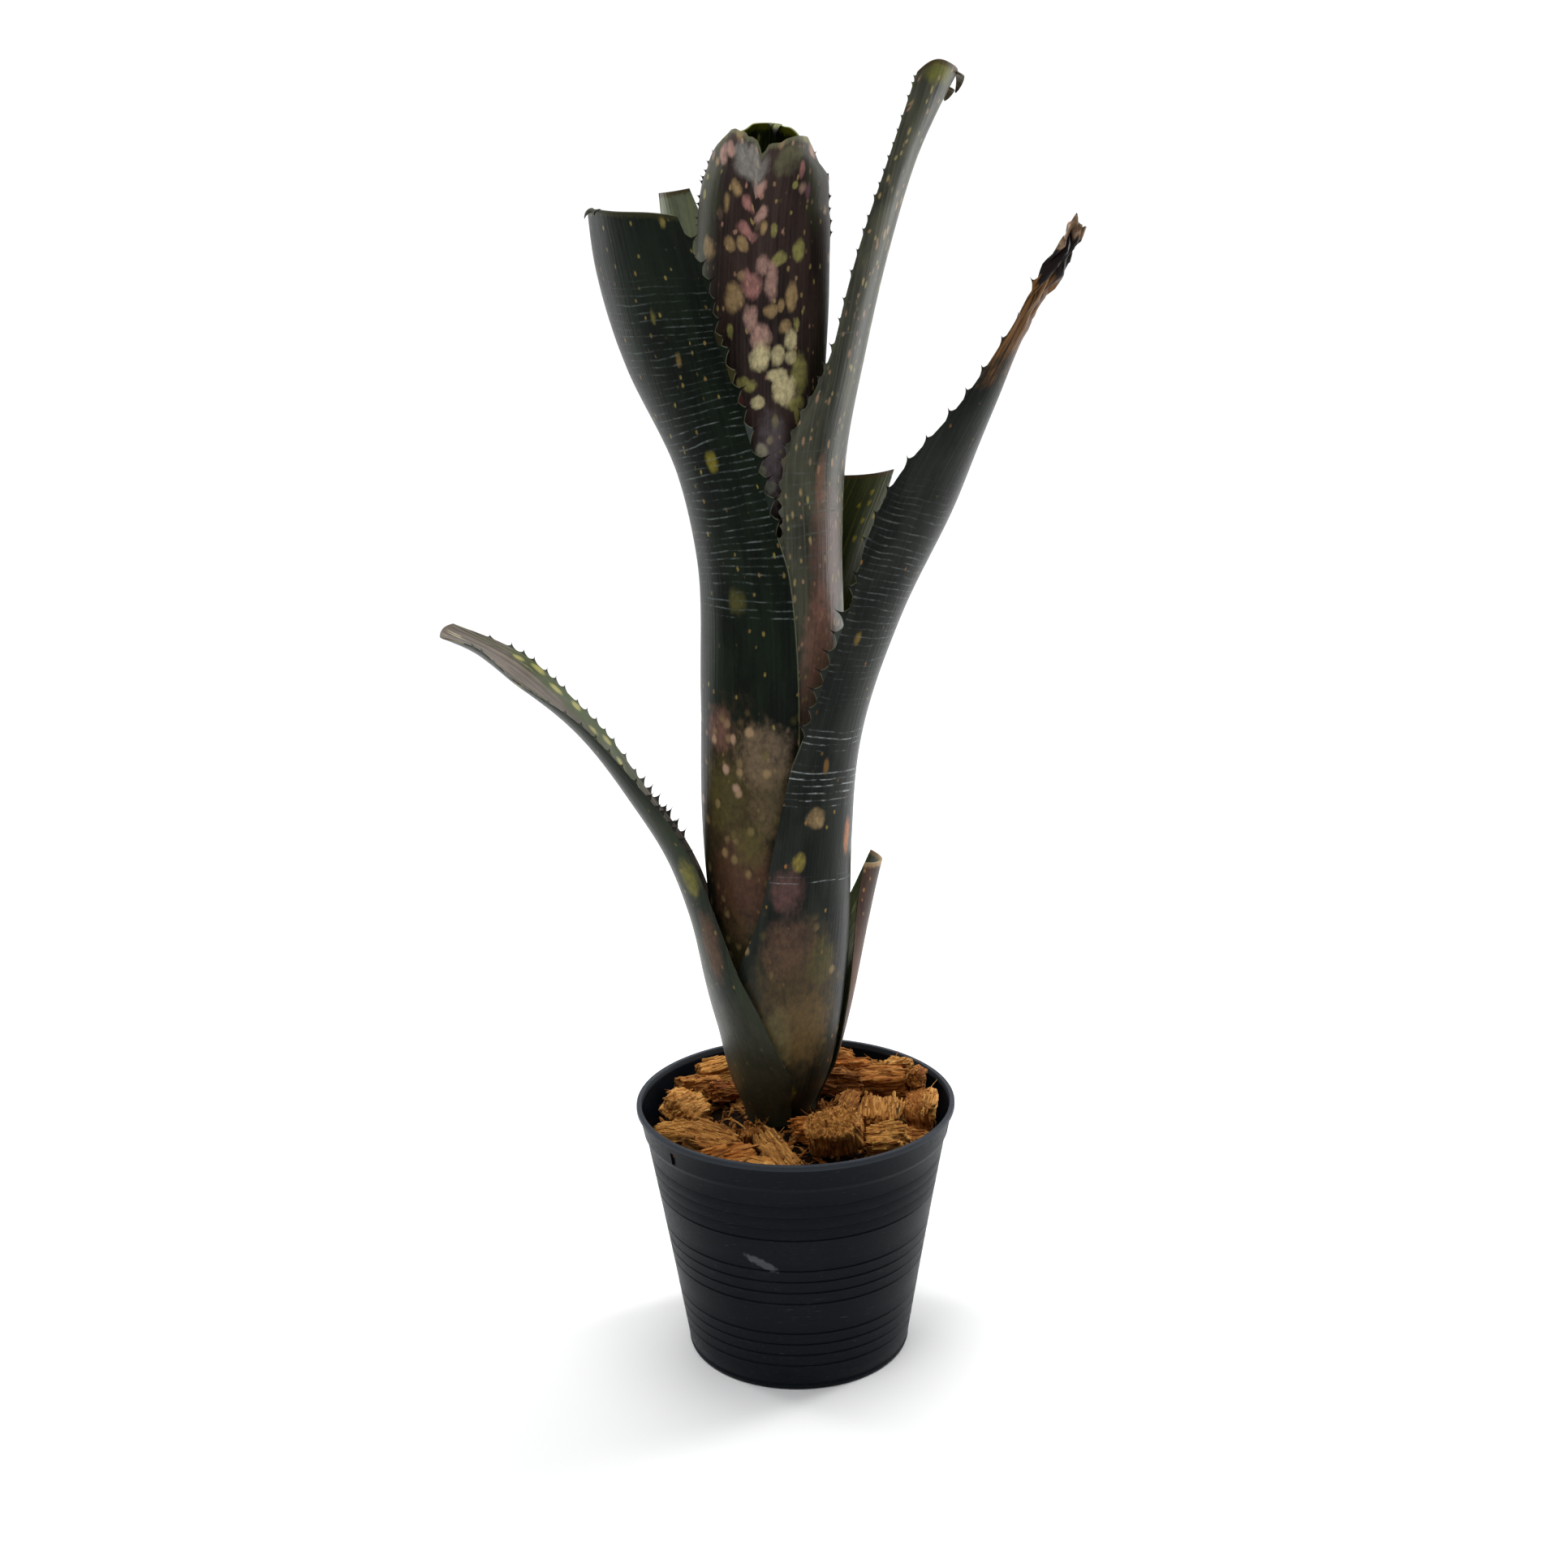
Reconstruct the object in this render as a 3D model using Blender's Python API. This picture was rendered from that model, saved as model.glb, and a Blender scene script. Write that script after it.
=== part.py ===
# A potted billbergia: a tank bromeliad of nested sheaths and arching, spine-edged blades, growing
# out of coconut-husk chips in a thin ringed nursery pot.
# Metres, +Z up. The origin is the middle of the pot's underside, on the surface it stands on.
# The front of the plant faces -Y, and the viewer's right is +X.
import bpy
import bmesh
import math
import numpy as np
from mathutils import Vector, Matrix
from mathutils.bvhtree import BVHTree

MM = 0.001

# ---- driving dimensions ------------------------------------------------------------------------
POT_HEIGHT = 86.0 * MM
POT_RIM_RADIUS = 52.5 * MM
POT_WALL = 1.0 * MM
POT_SEGMENTS = 48
LIP_HEIGHT = 1.8 * MM
LIP_ROUND = 0.5 * MM
COLLAR_TOP_RADIUS = 51.7 * MM
COLLAR_FOOT_RADIUS = 50.4 * MM
COLLAR_FOOT_Z = 77.2 * MM
SHOULDER_RADIUS = 49.6 * MM
SHOULDER_Z = 76.2 * MM
FOOT_RADIUS = 36.8 * MM
WALL_FLARE = 0.08
WALL_LEVELS = (64.0, 48.0, 30.0)
FOOT_RING = 3.4 * MM
SLOT_WIDTH = 2.2 * MM
SLOT_HEIGHT = 4.2 * MM
SLOT_Z = 79.6 * MM
SLOT_ANGLES = (-50.0, 76.0, 193.0)
DRAIN_RADIUS = 4.0 * MM
DRAIN_RING = 24.0 * MM
DRAIN_COUNT = 6
PAD_RADIUS = 14.0 * MM
FOOT_RECESS = 1.4 * MM

FIT_GAP = 0.35 * MM
SOIL_TOP = 79.5 * MM
SOIL_SEGMENTS = 32
SOIL_MOUND = ((0.0, 79.5), (12.0, 79.5), (22.0, 77.0), (36.0, 74.5), (50.0, 72.0))
SOIL_BANK = 0.14
SOIL_BANK_START = 12.0 * MM
CHIP_SIZE = 1.06
SEAT_SHIFTS = (0.0, -1.5, 1.5, -3.0, 3.0, -4.5, 4.5)
STEM_RADIUS = 3.6 * MM
STEM_FOOT_Z = 52.0 * MM
STEM_TOP_Z = 90.5 * MM
STEM_SEGMENTS = 16

SHEATH_THICK = 1.0 * MM
EDGE_THICK = 0.6 * MM
LEAF_GAP = 0.62 * MM

# the rosette, in millimetres: the line its axis stands on, as (height, sideways); how wide its
# innermost sheath stands, as (height, radius); and how far apart the layers of sheaths lie
AXIS_LINE = ((80.0, -5.0), (150.0, -7.0), (210.0, -6.0), (300.0, -7.5), (345.0, -6.5), (370.0, -5.0),
             (400.0, -2.0))
CORE_PROFILE = ((80.0, 1.5), (86.0, 3.0), (92.0, 5.0), (98.0, 6.5), (112.0, 10.0), (132.0, 13.0),
                (160.0, 14.0), (210.0, 14.5), (260.0, 15.0), (310.0, 17.0), (345.0, 18.0),
                (380.0, 16.5), (394.0, 14.0))
LAYER_PITCH = 1.8

# ---- start clean -------------------------------------------------------------------------------
for old in list(bpy.data.objects):
    bpy.data.objects.remove(old, do_unlink=True)

plant = bpy.data.collections.new("billbergia")
bpy.context.scene.collection.children.link(plant)
tools = bpy.data.collections.new("cutters")
bpy.context.scene.collection.children.link(tools)


def make_material(name, colour, roughness, metallic=0.0):
    mat = bpy.data.materials.new(name)
    mat.use_nodes = True
    shader = mat.node_tree.nodes["Principled BSDF"]
    shader.inputs["Base Color"].default_value = (colour[0], colour[1], colour[2], 1.0)
    shader.inputs["Roughness"].default_value = roughness
    shader.inputs["Metallic"].default_value = metallic
    mat.diffuse_color = (colour[0], colour[1], colour[2], 1.0)
    return mat


def finish_object(bm, name, mat, collection=plant):
    bmesh.ops.remove_doubles(bm, verts=bm.verts, dist=0.00001)
    bmesh.ops.recalc_face_normals(bm, faces=bm.faces)
    mesh = bpy.data.meshes.new(name)
    bm.to_mesh(mesh)
    bm.free()
    obj = bpy.data.objects.new(name, mesh)
    collection.objects.link(obj)
    if mat is not None:
        mesh.materials.append(mat)
    return obj


def as_cutter(obj):
    obj.hide_render = True
    obj.display_type = 'WIRE'
    return obj


def cut(target, cutter):
    mod = target.modifiers.new("cut_" + cutter.name, 'BOOLEAN')
    mod.operation = 'DIFFERENCE'
    mod.solver = 'EXACT'
    mod.object = cutter
    return mod


def turned(profile, segments):
    # an open profile in the XZ half-plane on +X, from the axis back to the axis, turned once about Z
    bm = bmesh.new()
    points = [bm.verts.new((x, 0.0, z)) for x, z in profile]
    edges = [bm.edges.new((points[k], points[k + 1])) for k in range(len(points) - 1)]
    bmesh.ops.spin(bm, geom=points + edges, cent=(0, 0, 0), axis=(0, 0, 1), dvec=(0, 0, 0),
                   angle=math.tau, steps=segments, use_merge=True, use_duplicate=False)
    return bm


# ---- the pot -----------------------------------------------------------------------------------
def wall_radius(z):
    # outside of the wall below the collar: it tapers, and flares a little towards the shoulder
    rise = z / SHOULDER_Z
    return FOOT_RADIUS + (SHOULDER_RADIUS - FOOT_RADIUS) * rise * (1.0 - WALL_FLARE * (1.0 - rise))


pot_mat = make_material("pot_plastic", (0.020, 0.023, 0.027), 0.45)
soil_mat = make_material("coir_soil", (0.050, 0.028, 0.014), 0.95)
stem_mat = make_material("stem_tissue", (0.20, 0.17, 0.09), 0.8)

lip_foot_z = POT_HEIGHT - LIP_HEIGHT
outer = [(POT_RIM_RADIUS - LIP_ROUND, POT_HEIGHT), (POT_RIM_RADIUS, POT_HEIGHT - LIP_ROUND),
         (POT_RIM_RADIUS, lip_foot_z), (COLLAR_TOP_RADIUS - 0.1 * MM, lip_foot_z - 0.3 * MM),
         (COLLAR_FOOT_RADIUS, COLLAR_FOOT_Z), (SHOULDER_RADIUS, SHOULDER_Z)]
outer += [(wall_radius(level * MM), level * MM) for level in WALL_LEVELS]
outer += [(FOOT_RADIUS + 0.4 * MM, 1.2 * MM), (FOOT_RADIUS - 0.3 * MM, 0.0)]
foot = [(FOOT_RADIUS - FOOT_RING, 0.0), (FOOT_RADIUS - FOOT_RING - 0.6 * MM, FOOT_RECESS),
        (PAD_RADIUS + 0.6 * MM, FOOT_RECESS), (PAD_RADIUS, 0.0), (0.0, 0.0)]
floor_z = FOOT_RECESS + POT_WALL
floor_radius = FOOT_RADIUS - 1.9 * MM
inner = [(0.0, floor_z), (floor_radius, floor_z)]
inner += [(wall_radius(level * MM) - POT_WALL, level * MM) for level in reversed(WALL_LEVELS)]
inner += [(SHOULDER_RADIUS - POT_WALL + 0.3 * MM, SHOULDER_Z + 0.4 * MM),
          (COLLAR_TOP_RADIUS - POT_WALL, lip_foot_z - 0.2 * MM),
          (COLLAR_TOP_RADIUS - POT_WALL + 0.2 * MM, POT_HEIGHT)]
# the profile runs from the underside's middle, out, up the wall, over the lip and back inside
pot_line = list(reversed(foot)) + list(reversed(outer)) + list(reversed(inner))
pot = finish_object(turned(pot_line, POT_SEGMENTS), "pot", pot_mat)

for k in range(DRAIN_COUNT):
    angle = math.tau * (k + 0.25) / DRAIN_COUNT
    bm = bmesh.new()
    place = Matrix.Translation((DRAIN_RING * math.cos(angle), DRAIN_RING * math.sin(angle), 2.0 * MM))
    bmesh.ops.create_cone(bm, cap_ends=True, segments=12, radius1=DRAIN_RADIUS, radius2=DRAIN_RADIUS,
                          depth=8.0 * MM, matrix=place)
    cut(pot, as_cutter(finish_object(bm, "drain_cutter_%d" % (k + 1), None, tools)))

for k, degrees in enumerate(SLOT_ANGLES):
    angle = math.radians(degrees)
    bm = bmesh.new()
    reach = Vector((math.sin(angle), -math.cos(angle), 0.0)) * (51.0 * MM)
    place = (Matrix.Translation(reach + Vector((0, 0, SLOT_Z))) @ Matrix.Rotation(angle, 4, 'Z')
             @ Matrix.Diagonal((SLOT_WIDTH, 8.0 * MM, SLOT_HEIGHT, 1.0)))
    bmesh.ops.create_cube(bm, size=1.0, matrix=place)
    cut(pot, as_cutter(finish_object(bm, "slot_cutter_%d" % (k + 1), None, tools)))


# ---- the growing medium and the stem -----------------------------------------------------------
def read_curve(points, at):
    # straight between the points of a curve given as (along, value), in millimetres
    return float(np.interp(at, [p[0] for p in points], [p[1] for p in points]))


def soil_height(r, y=0.0):
    # a low mound that falls away towards the wall, and is banked up behind the plant
    return read_curve(SOIL_MOUND, r / MM) * MM + SOIL_BANK * max(0.0, y - SOIL_BANK_START)


soil_line = [(0.0, floor_z + FIT_GAP), (floor_radius - 0.2 * MM - FIT_GAP, floor_z + FIT_GAP)]
for level in reversed(WALL_LEVELS):
    soil_line.append((wall_radius(level * MM) - POT_WALL - 0.45 * MM, level * MM))
for radius in (47.0, 36.0, 22.0, 12.0):
    soil_line.append((radius * MM, soil_height(radius * MM)))
soil_line.append((0.0, SOIL_TOP))
bm = turned(soil_line, SOIL_SEGMENTS)
for v in bm.verts:
    if v.co.z > 65.0 * MM:
        v.co.z += SOIL_BANK * max(0.0, v.co.y - SOIL_BANK_START)
soil = finish_object(bm, "growing_medium", soil_mat)


def axis_x(z):
    return read_curve(AXIS_LINE, z / MM) * MM


stem_x = axis_x(80.0 * MM)
stem_line = [(0.0, STEM_FOOT_Z), (STEM_RADIUS * 0.7, STEM_FOOT_Z), (STEM_RADIUS, STEM_FOOT_Z + 6 * MM),
             (STEM_RADIUS * 0.92, 80.0 * MM), (STEM_RADIUS * 0.8, 87.0 * MM),
             (STEM_RADIUS * 0.45, STEM_TOP_Z), (0.0, STEM_TOP_Z + 0.8 * MM)]
bm = turned(stem_line, STEM_SEGMENTS)
bmesh.ops.translate(bm, verts=bm.verts, vec=(stem_x, 0.0, 0.0))
stem = finish_object(bm, "stem", stem_mat)

bm = bmesh.new()
hole_low = STEM_FOOT_Z - FIT_GAP
place = Matrix.Translation((stem_x, 0.0, (hole_low + 90.0 * MM) / 2))
bmesh.ops.create_cone(bm, cap_ends=True, segments=STEM_SEGMENTS, radius1=STEM_RADIUS + FIT_GAP,
                      radius2=STEM_RADIUS + FIT_GAP, depth=90.0 * MM - hole_low, matrix=place)
cut(soil, as_cutter(finish_object(bm, "stem_hole_cutter", None, tools)))


# ---- the leaves --------------------------------------------------------------------------------
def outward(azimuth, elevation=0.0):
    # azimuth 0 faces the front (-Y), +90 the viewer's right (+X)
    a = math.radians(azimuth)
    e = math.radians(elevation)
    return np.array((math.sin(a) * math.cos(e), -math.cos(a) * math.cos(e), math.sin(e)))


def sheath(z, layer, azimuth, half_angle):
    # a station where the leaf wraps the rosette, at its layer's radius
    radius = read_curve(CORE_PROFILE, z) + layer * LAYER_PITCH
    middle = np.array((axis_x(z * MM) / MM, 0.0, z)) + radius * outward(azimuth)
    return (middle[0], middle[1], middle[2], radius * math.radians(half_angle), half_angle, azimuth, 0.0)


def sheath_run(low, high, layer, azimuth, half_angle):
    # stations up a stretch of sheath: its two ends and the heights of the rosette's profile between
    heights = [z for z, _ in CORE_PROFILE if low + 5.0 < z < high - 5.0]
    return tuple(sheath(z, layer, azimuth, half_angle) for z in [low] + heights + [high])


def blade(x, y, z, half_width, half_angle, azimuth, elevation):
    # a station on the free blade: midrib, half the width round the curl, curl, and where its back faces
    return (x, y, z, half_width, half_angle, azimuth, elevation)


# innermost first, so that each later leaf wraps over those already there; tip holds how far the two
# margins stop short of the midrib's end, and how much the end is cut at a slant
LEAVES = {
    "leaf_centre_back": dict(thick=1.0, grid=(20, 12), tip=(5, 6, 0), colour=(0.050, 0.060, 0.030),
                             stations=(
        sheath_run(92, 366, 0, 175, 90)
        + (sheath(380, 0, 175, 86), sheath(387, 0, 174, 82), sheath(392, 0, 173, 76)))),
    "leaf_centre_front": dict(thick=1.2, grid=(20, 12), tip=(5, 2, 0), colour=(0.060, 0.040, 0.040),
                              stations=(
        sheath_run(91, 358, 1, -5, 95)
        + (sheath(371, 1, -4, 90), sheath(378, 1, -3, 82), sheath(384, 1, -2, 72)))),
    "leaf_back_left": dict(thick=1.0, grid=(18, 6), tip=(0, 0, 0), colour=(0.13, 0.16, 0.12), stations=(
        sheath_run(87, 300, 2, -135, 36)
        + (blade(-24, 15, 335, 13, 45, -125, -8), blade(-28, 17, 354, 10, 40, -120, -10),
           blade(-32, 18, 374, 3.5, 30, -120, -10)))),
    "leaf_right_tall": dict(thick=1.4, grid=(26, 8), tip=(2, 2, 0), colour=(0.11, 0.11, 0.09), stations=(
        sheath_run(85, 210, 2.2, 80, 80)
        + (blade(16, -4, 240, 28, 80, 80, 0), blade(16, -3, 270, 28, 70, 80, 0),
           blade(17, -3, 295, 26, 64, 75, -5), blade(23, -5, 325, 17.5, 50, 78, -10),
           blade(30, -7, 355, 13.5, 45, 75, -15), blade(38, -8, 382, 9.5, 40, 65, -20),
           blade(48, -9, 407, 8.5, 35, 40, -25)))),
    "leaf_back_right": dict(thick=1.0, grid=(16, 6), tip=(0, 0, 10), colour=(0.07, 0.10, 0.035), stations=(
        sheath_run(84, 210, 3, 150, 42)
        + (blade(9, 20, 245, 15, 40, 150, -5), blade(16, 22, 268, 15, 35, 150, -12),
           blade(26, 25, 292, 11, 25, 155, -18)))),
    "leaf_left_broad": dict(thick=1.4, grid=(24, 9), tip=(3, 3, 0), colour=(0.028, 0.042, 0.028), stations=(
        sheath_run(83, 150, 3, -60, 80)
        + (blade(-24, -11, 180, 28.5, 80, -55, 0), blade(-23, -11, 222, 29, 75, -55, 0),
           blade(-23, -11, 265, 27, 68, -60, 0), blade(-29, -12, 292, 27, 62, -60, 0),
           blade(-38, -14, 322, 26, 45, -45, -20), blade(-43, -18, 345, 24, 42, -40, -25),
           blade(-47, -25, 367, 19.5, 40, -43, -27)))),
    "leaf_front_right": dict(thick=1.4, grid=(26, 8), tip=(0, 0, 0), colour=(0.040, 0.055, 0.045), stations=(
        (sheath(82, 4, 44, 75), sheath(94, 5.5, 45, 72), sheath(112, 5.8, 46, 72), sheath(132, 5.8, 48, 77))
        + (blade(13, -16, 153, 26, 72, 50, 0), blade(15, -15, 178, 23, 66, 55, 0),
           blade(18, -14, 205, 20, 60, 58, -3), blade(30, -20, 248, 17, 50, 53, -11),
           blade(45, -25, 285, 16, 50, 40, -18), blade(58, -31, 312, 9, 45, 50, -27),
           blade(67, -36, 333, 5, 35, 58, -27), blade(82, -42, 361, 4, 18, 38, -25)))),
    "leaf_stub_right": dict(thick=1.4, grid=(12, 6), tip=(0, 0, 0), colour=(0.13, 0.075, 0.045), stations=(
        (sheath(80, 5, 138, 42), sheath(95, 5.5, 135, 45))
        + (blade(13, 10, 112, 15, 50, 120, -7), blade(19, 9, 128, 14, 55, 110, -10),
           blade(29, 8, 165, 9.5, 60, 80, -14)))),
    "leaf_outer_left": dict(thick=1.4, grid=(24, 8), tip=(2, 2, 0), colour=(0.040, 0.050, 0.035), stations=(
        sheath_run(80, 92, 5, -62, 78)
        + (blade(-22, -8, 114, 21, 70, -78, -5), blade(-27.5, -7, 133, 21, 65, -88, -10),
           blade(-32.5, -6, 153, 18, 58, -88, -25), blade(-39, -6, 171, 15, 56, -82, -42),
           blade(-50, -6, 190, 13, 50, -70, -66), blade(-64, -5, 210, 12, 43, -57, -84),
           blade(-80, -5, 226, 11.5, 35, -42, -95), blade(-96, -4, 238, 11, 32, -33, -92),
           blade(-107, -6, 244, 5, 40, -35, -60)))),
}


def smooth_rows(rows, marks, t):
    # a smooth curve through every station row, read at t
    count = len(marks)
    slope = np.zeros_like(rows)
    slope[0] = (rows[1] - rows[0]) / (marks[1] - marks[0])
    slope[-1] = (rows[-1] - rows[-2]) / (marks[-1] - marks[-2])
    for i in range(1, count - 1):
        before = marks[i] - marks[i - 1]
        after = marks[i + 1] - marks[i]
        rise = (rows[i] - rows[i - 1]) / before
        run = (rows[i + 1] - rows[i]) / after
        slope[i] = (rise * after + run * before) / (before + after)
    k = min(max(int(np.searchsorted(marks, t)) - 1, 0), count - 2)
    h = marks[k + 1] - marks[k]
    u = (t - marks[k]) / h
    return ((2 * u**3 - 3 * u**2 + 1) * rows[k] + (u**3 - 2 * u**2 + u) * h * slope[k]
            + (3 * u**2 - 2 * u**3) * rows[k + 1] + (u**3 - u**2) * h * slope[k + 1])


def leaf_sheet(spec, along, across):
    # the leaf's middle surface as a grid of points, base to tip and margin to margin, in millimetres
    table = np.array(spec["stations"], float)
    steps = np.linalg.norm(np.diff(table[:, :3], axis=0), axis=1)
    marks = np.concatenate(([0.0], np.cumsum(steps)))
    length = marks[-1]
    marks /= length
    inward = np.array([-outward(a, e) for a, e in table[:, 5:7]])
    rows = np.concatenate((table[:, :3], table[:, 3:5], inward), axis=1)
    fine = np.linspace(0.0, 1.0, 8 * along + 1)
    values = np.array([smooth_rows(rows, marks, t) for t in fine])
    midrib = values[:, :3]
    tangent = np.gradient(midrib, axis=0)
    tangent /= np.linalg.norm(tangent, axis=1)[:, None]
    face = values[:, 5:8] - (values[:, 5:8] * tangent).sum(1)[:, None] * tangent
    face /= np.linalg.norm(face, axis=1)[:, None]
    side = np.cross(tangent, face)
    curl = np.radians(np.maximum(values[:, 4], 2.0))
    radius = np.maximum(values[:, 3], 0.3) / curl
    sheet = np.zeros((along + 1, across + 1, 3))
    even = np.linspace(0.0, 1.0, along + 1)
    for j, spread in enumerate(np.linspace(-1.0, 1.0, across + 1)):
        turn = spread * curl
        column = (midrib + (radius * (1 - np.cos(turn)))[:, None] * face
                  + (radius * np.sin(turn))[:, None] * side)
        near, far, slant = spec["tip"]
        short = (near if spread > 0 else far) * abs(spread)**3 + slant * (1.0 - spread) / 2
        reach = even * (1.0 - short / length * even**4)
        for axis in range(3):
            sheet[:, j, axis] = np.interp(reach, fine, column[:, axis])
    return sheet


def sheet_normals(sheet):
    lengthwise = np.gradient(sheet, axis=0)
    crosswise = np.gradient(sheet, axis=1)
    normal = np.cross(lengthwise, crosswise)
    return normal / np.linalg.norm(normal, axis=2)[:, :, None]


def clearance_needed(sheet, inner_tree, half_thick):
    # how far each point must move out from the axis to stand clear of the leaves inside it
    need = np.zeros(sheet.shape[:2])
    for i in range(sheet.shape[0]):
        for j in range(sheet.shape[1]):
            p = sheet[i, j]
            centre = np.array((axis_x(p[2] * MM) / MM, 0.0, p[2]))
            out = p - centre
            r = float(np.hypot(out[0], out[1]))
            out = out / max(r, 0.001)
            start = Vector(centre + out * (r + 9.0)) * MM
            hit = inner_tree.ray_cast(start, -Vector(out), (r + 8.5) * MM)
            if hit[0] is not None:
                face_r = float(np.hypot(hit[0].x / MM - centre[0], hit[0].y / MM))
                need[i, j] = max(0.0, face_r + LEAF_GAP / MM + half_thick - r)
    return need


def widest_near(field, reach):
    # the largest value within reach cells each way
    for _ in range(reach):
        padded = np.pad(field, 1, mode='edge')
        field = np.maximum.reduce([field, padded[:-2, 1:-1], padded[2:, 1:-1], padded[1:-1, :-2],
                                   padded[1:-1, 2:]])
    return field


def wrap_over(spec, along, across, inner_tree, half_thick):
    # a leaf is eased outwards wherever it would run through those inside it; the need is felt on a
    # sheet three times as fine, so that a margin lying between two points is cleared as well
    sheet = leaf_sheet(spec, along, across)
    fine = leaf_sheet(spec, along * 3, across * 3)
    need = widest_near(clearance_needed(fine, inner_tree, half_thick), 3)[::3, ::3]
    eased = need.copy()
    for _ in range(3):
        padded = np.pad(eased, 1, mode='edge')
        mean = 0.25 * (padded[:-2, 1:-1] + padded[2:, 1:-1] + padded[1:-1, :-2] + padded[1:-1, 2:])
        eased = np.maximum(need, 0.5 * eased + 0.5 * mean)
    centre = np.array([[axis_x(p[2] * MM) / MM, 0.0] for p in sheet.reshape(-1, 3)])
    away = sheet.reshape(-1, 3)[:, :2] - centre
    away /= np.linalg.norm(away, axis=1)[:, None] + 0.000001
    away = np.concatenate((away, np.zeros((len(away), 1))), axis=1).reshape(sheet.shape)
    return sheet + eased[:, :, None] * away


def leaf_body(name, sheet, thick, mat):
    # a flat grid, doubled into a slab, then laid onto the two faces of the leaf
    along = sheet.shape[0] - 1
    across = sheet.shape[1] - 1
    normal = sheet_normals(sheet)
    bm = bmesh.new()
    bmesh.ops.create_grid(bm, x_segments=along, y_segments=across, size=0.5)
    doubled = bmesh.ops.extrude_face_region(bm, geom=list(bm.faces), use_keep_orig=True)
    raised = set(v for v in doubled["geom"] if isinstance(v, bmesh.types.BMVert))
    for v in bm.verts:
        i = int(round((v.co.x + 0.5) * along))
        j = int(round((v.co.y + 0.5) * across))
        spread = abs(2.0 * j / across - 1.0)
        tip = min(1.0, (along - i) / 3.0)
        middle = SHEATH_THICK / MM + (thick - SHEATH_THICK / MM) * min(1.0, i / (0.4 * along))
        depth = EDGE_THICK / MM + (middle - EDGE_THICK / MM) * (1.0 - spread**2) * (0.35 + 0.65 * tip)
        side = 0.5 if v in raised else -0.5
        v.co = Vector((sheet[i, j] + normal[i, j] * depth * side) * MM)
    return finish_object(bm, name, mat)


def tree_of(objects):
    verts = []
    faces = []
    for obj in objects:
        base = len(verts)
        verts += [v.co.copy() for v in obj.data.vertices]
        faces += [tuple(base + k for k in poly.vertices) for poly in obj.data.polygons]
    return BVHTree.FromPolygons(verts, faces) if verts else None


leaf_objects = []
for leaf_name, spec in LEAVES.items():
    along, across = spec["grid"]
    inner_tree = tree_of([stem] + leaf_objects)
    sheet = wrap_over(spec, along, across, inner_tree, 0.5 * spec["thick"])
    leaf_mat = make_material(leaf_name + "_tissue", spec["colour"], 0.5)
    leaf_objects.append(leaf_body(leaf_name, sheet, spec["thick"], leaf_mat))


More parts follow.
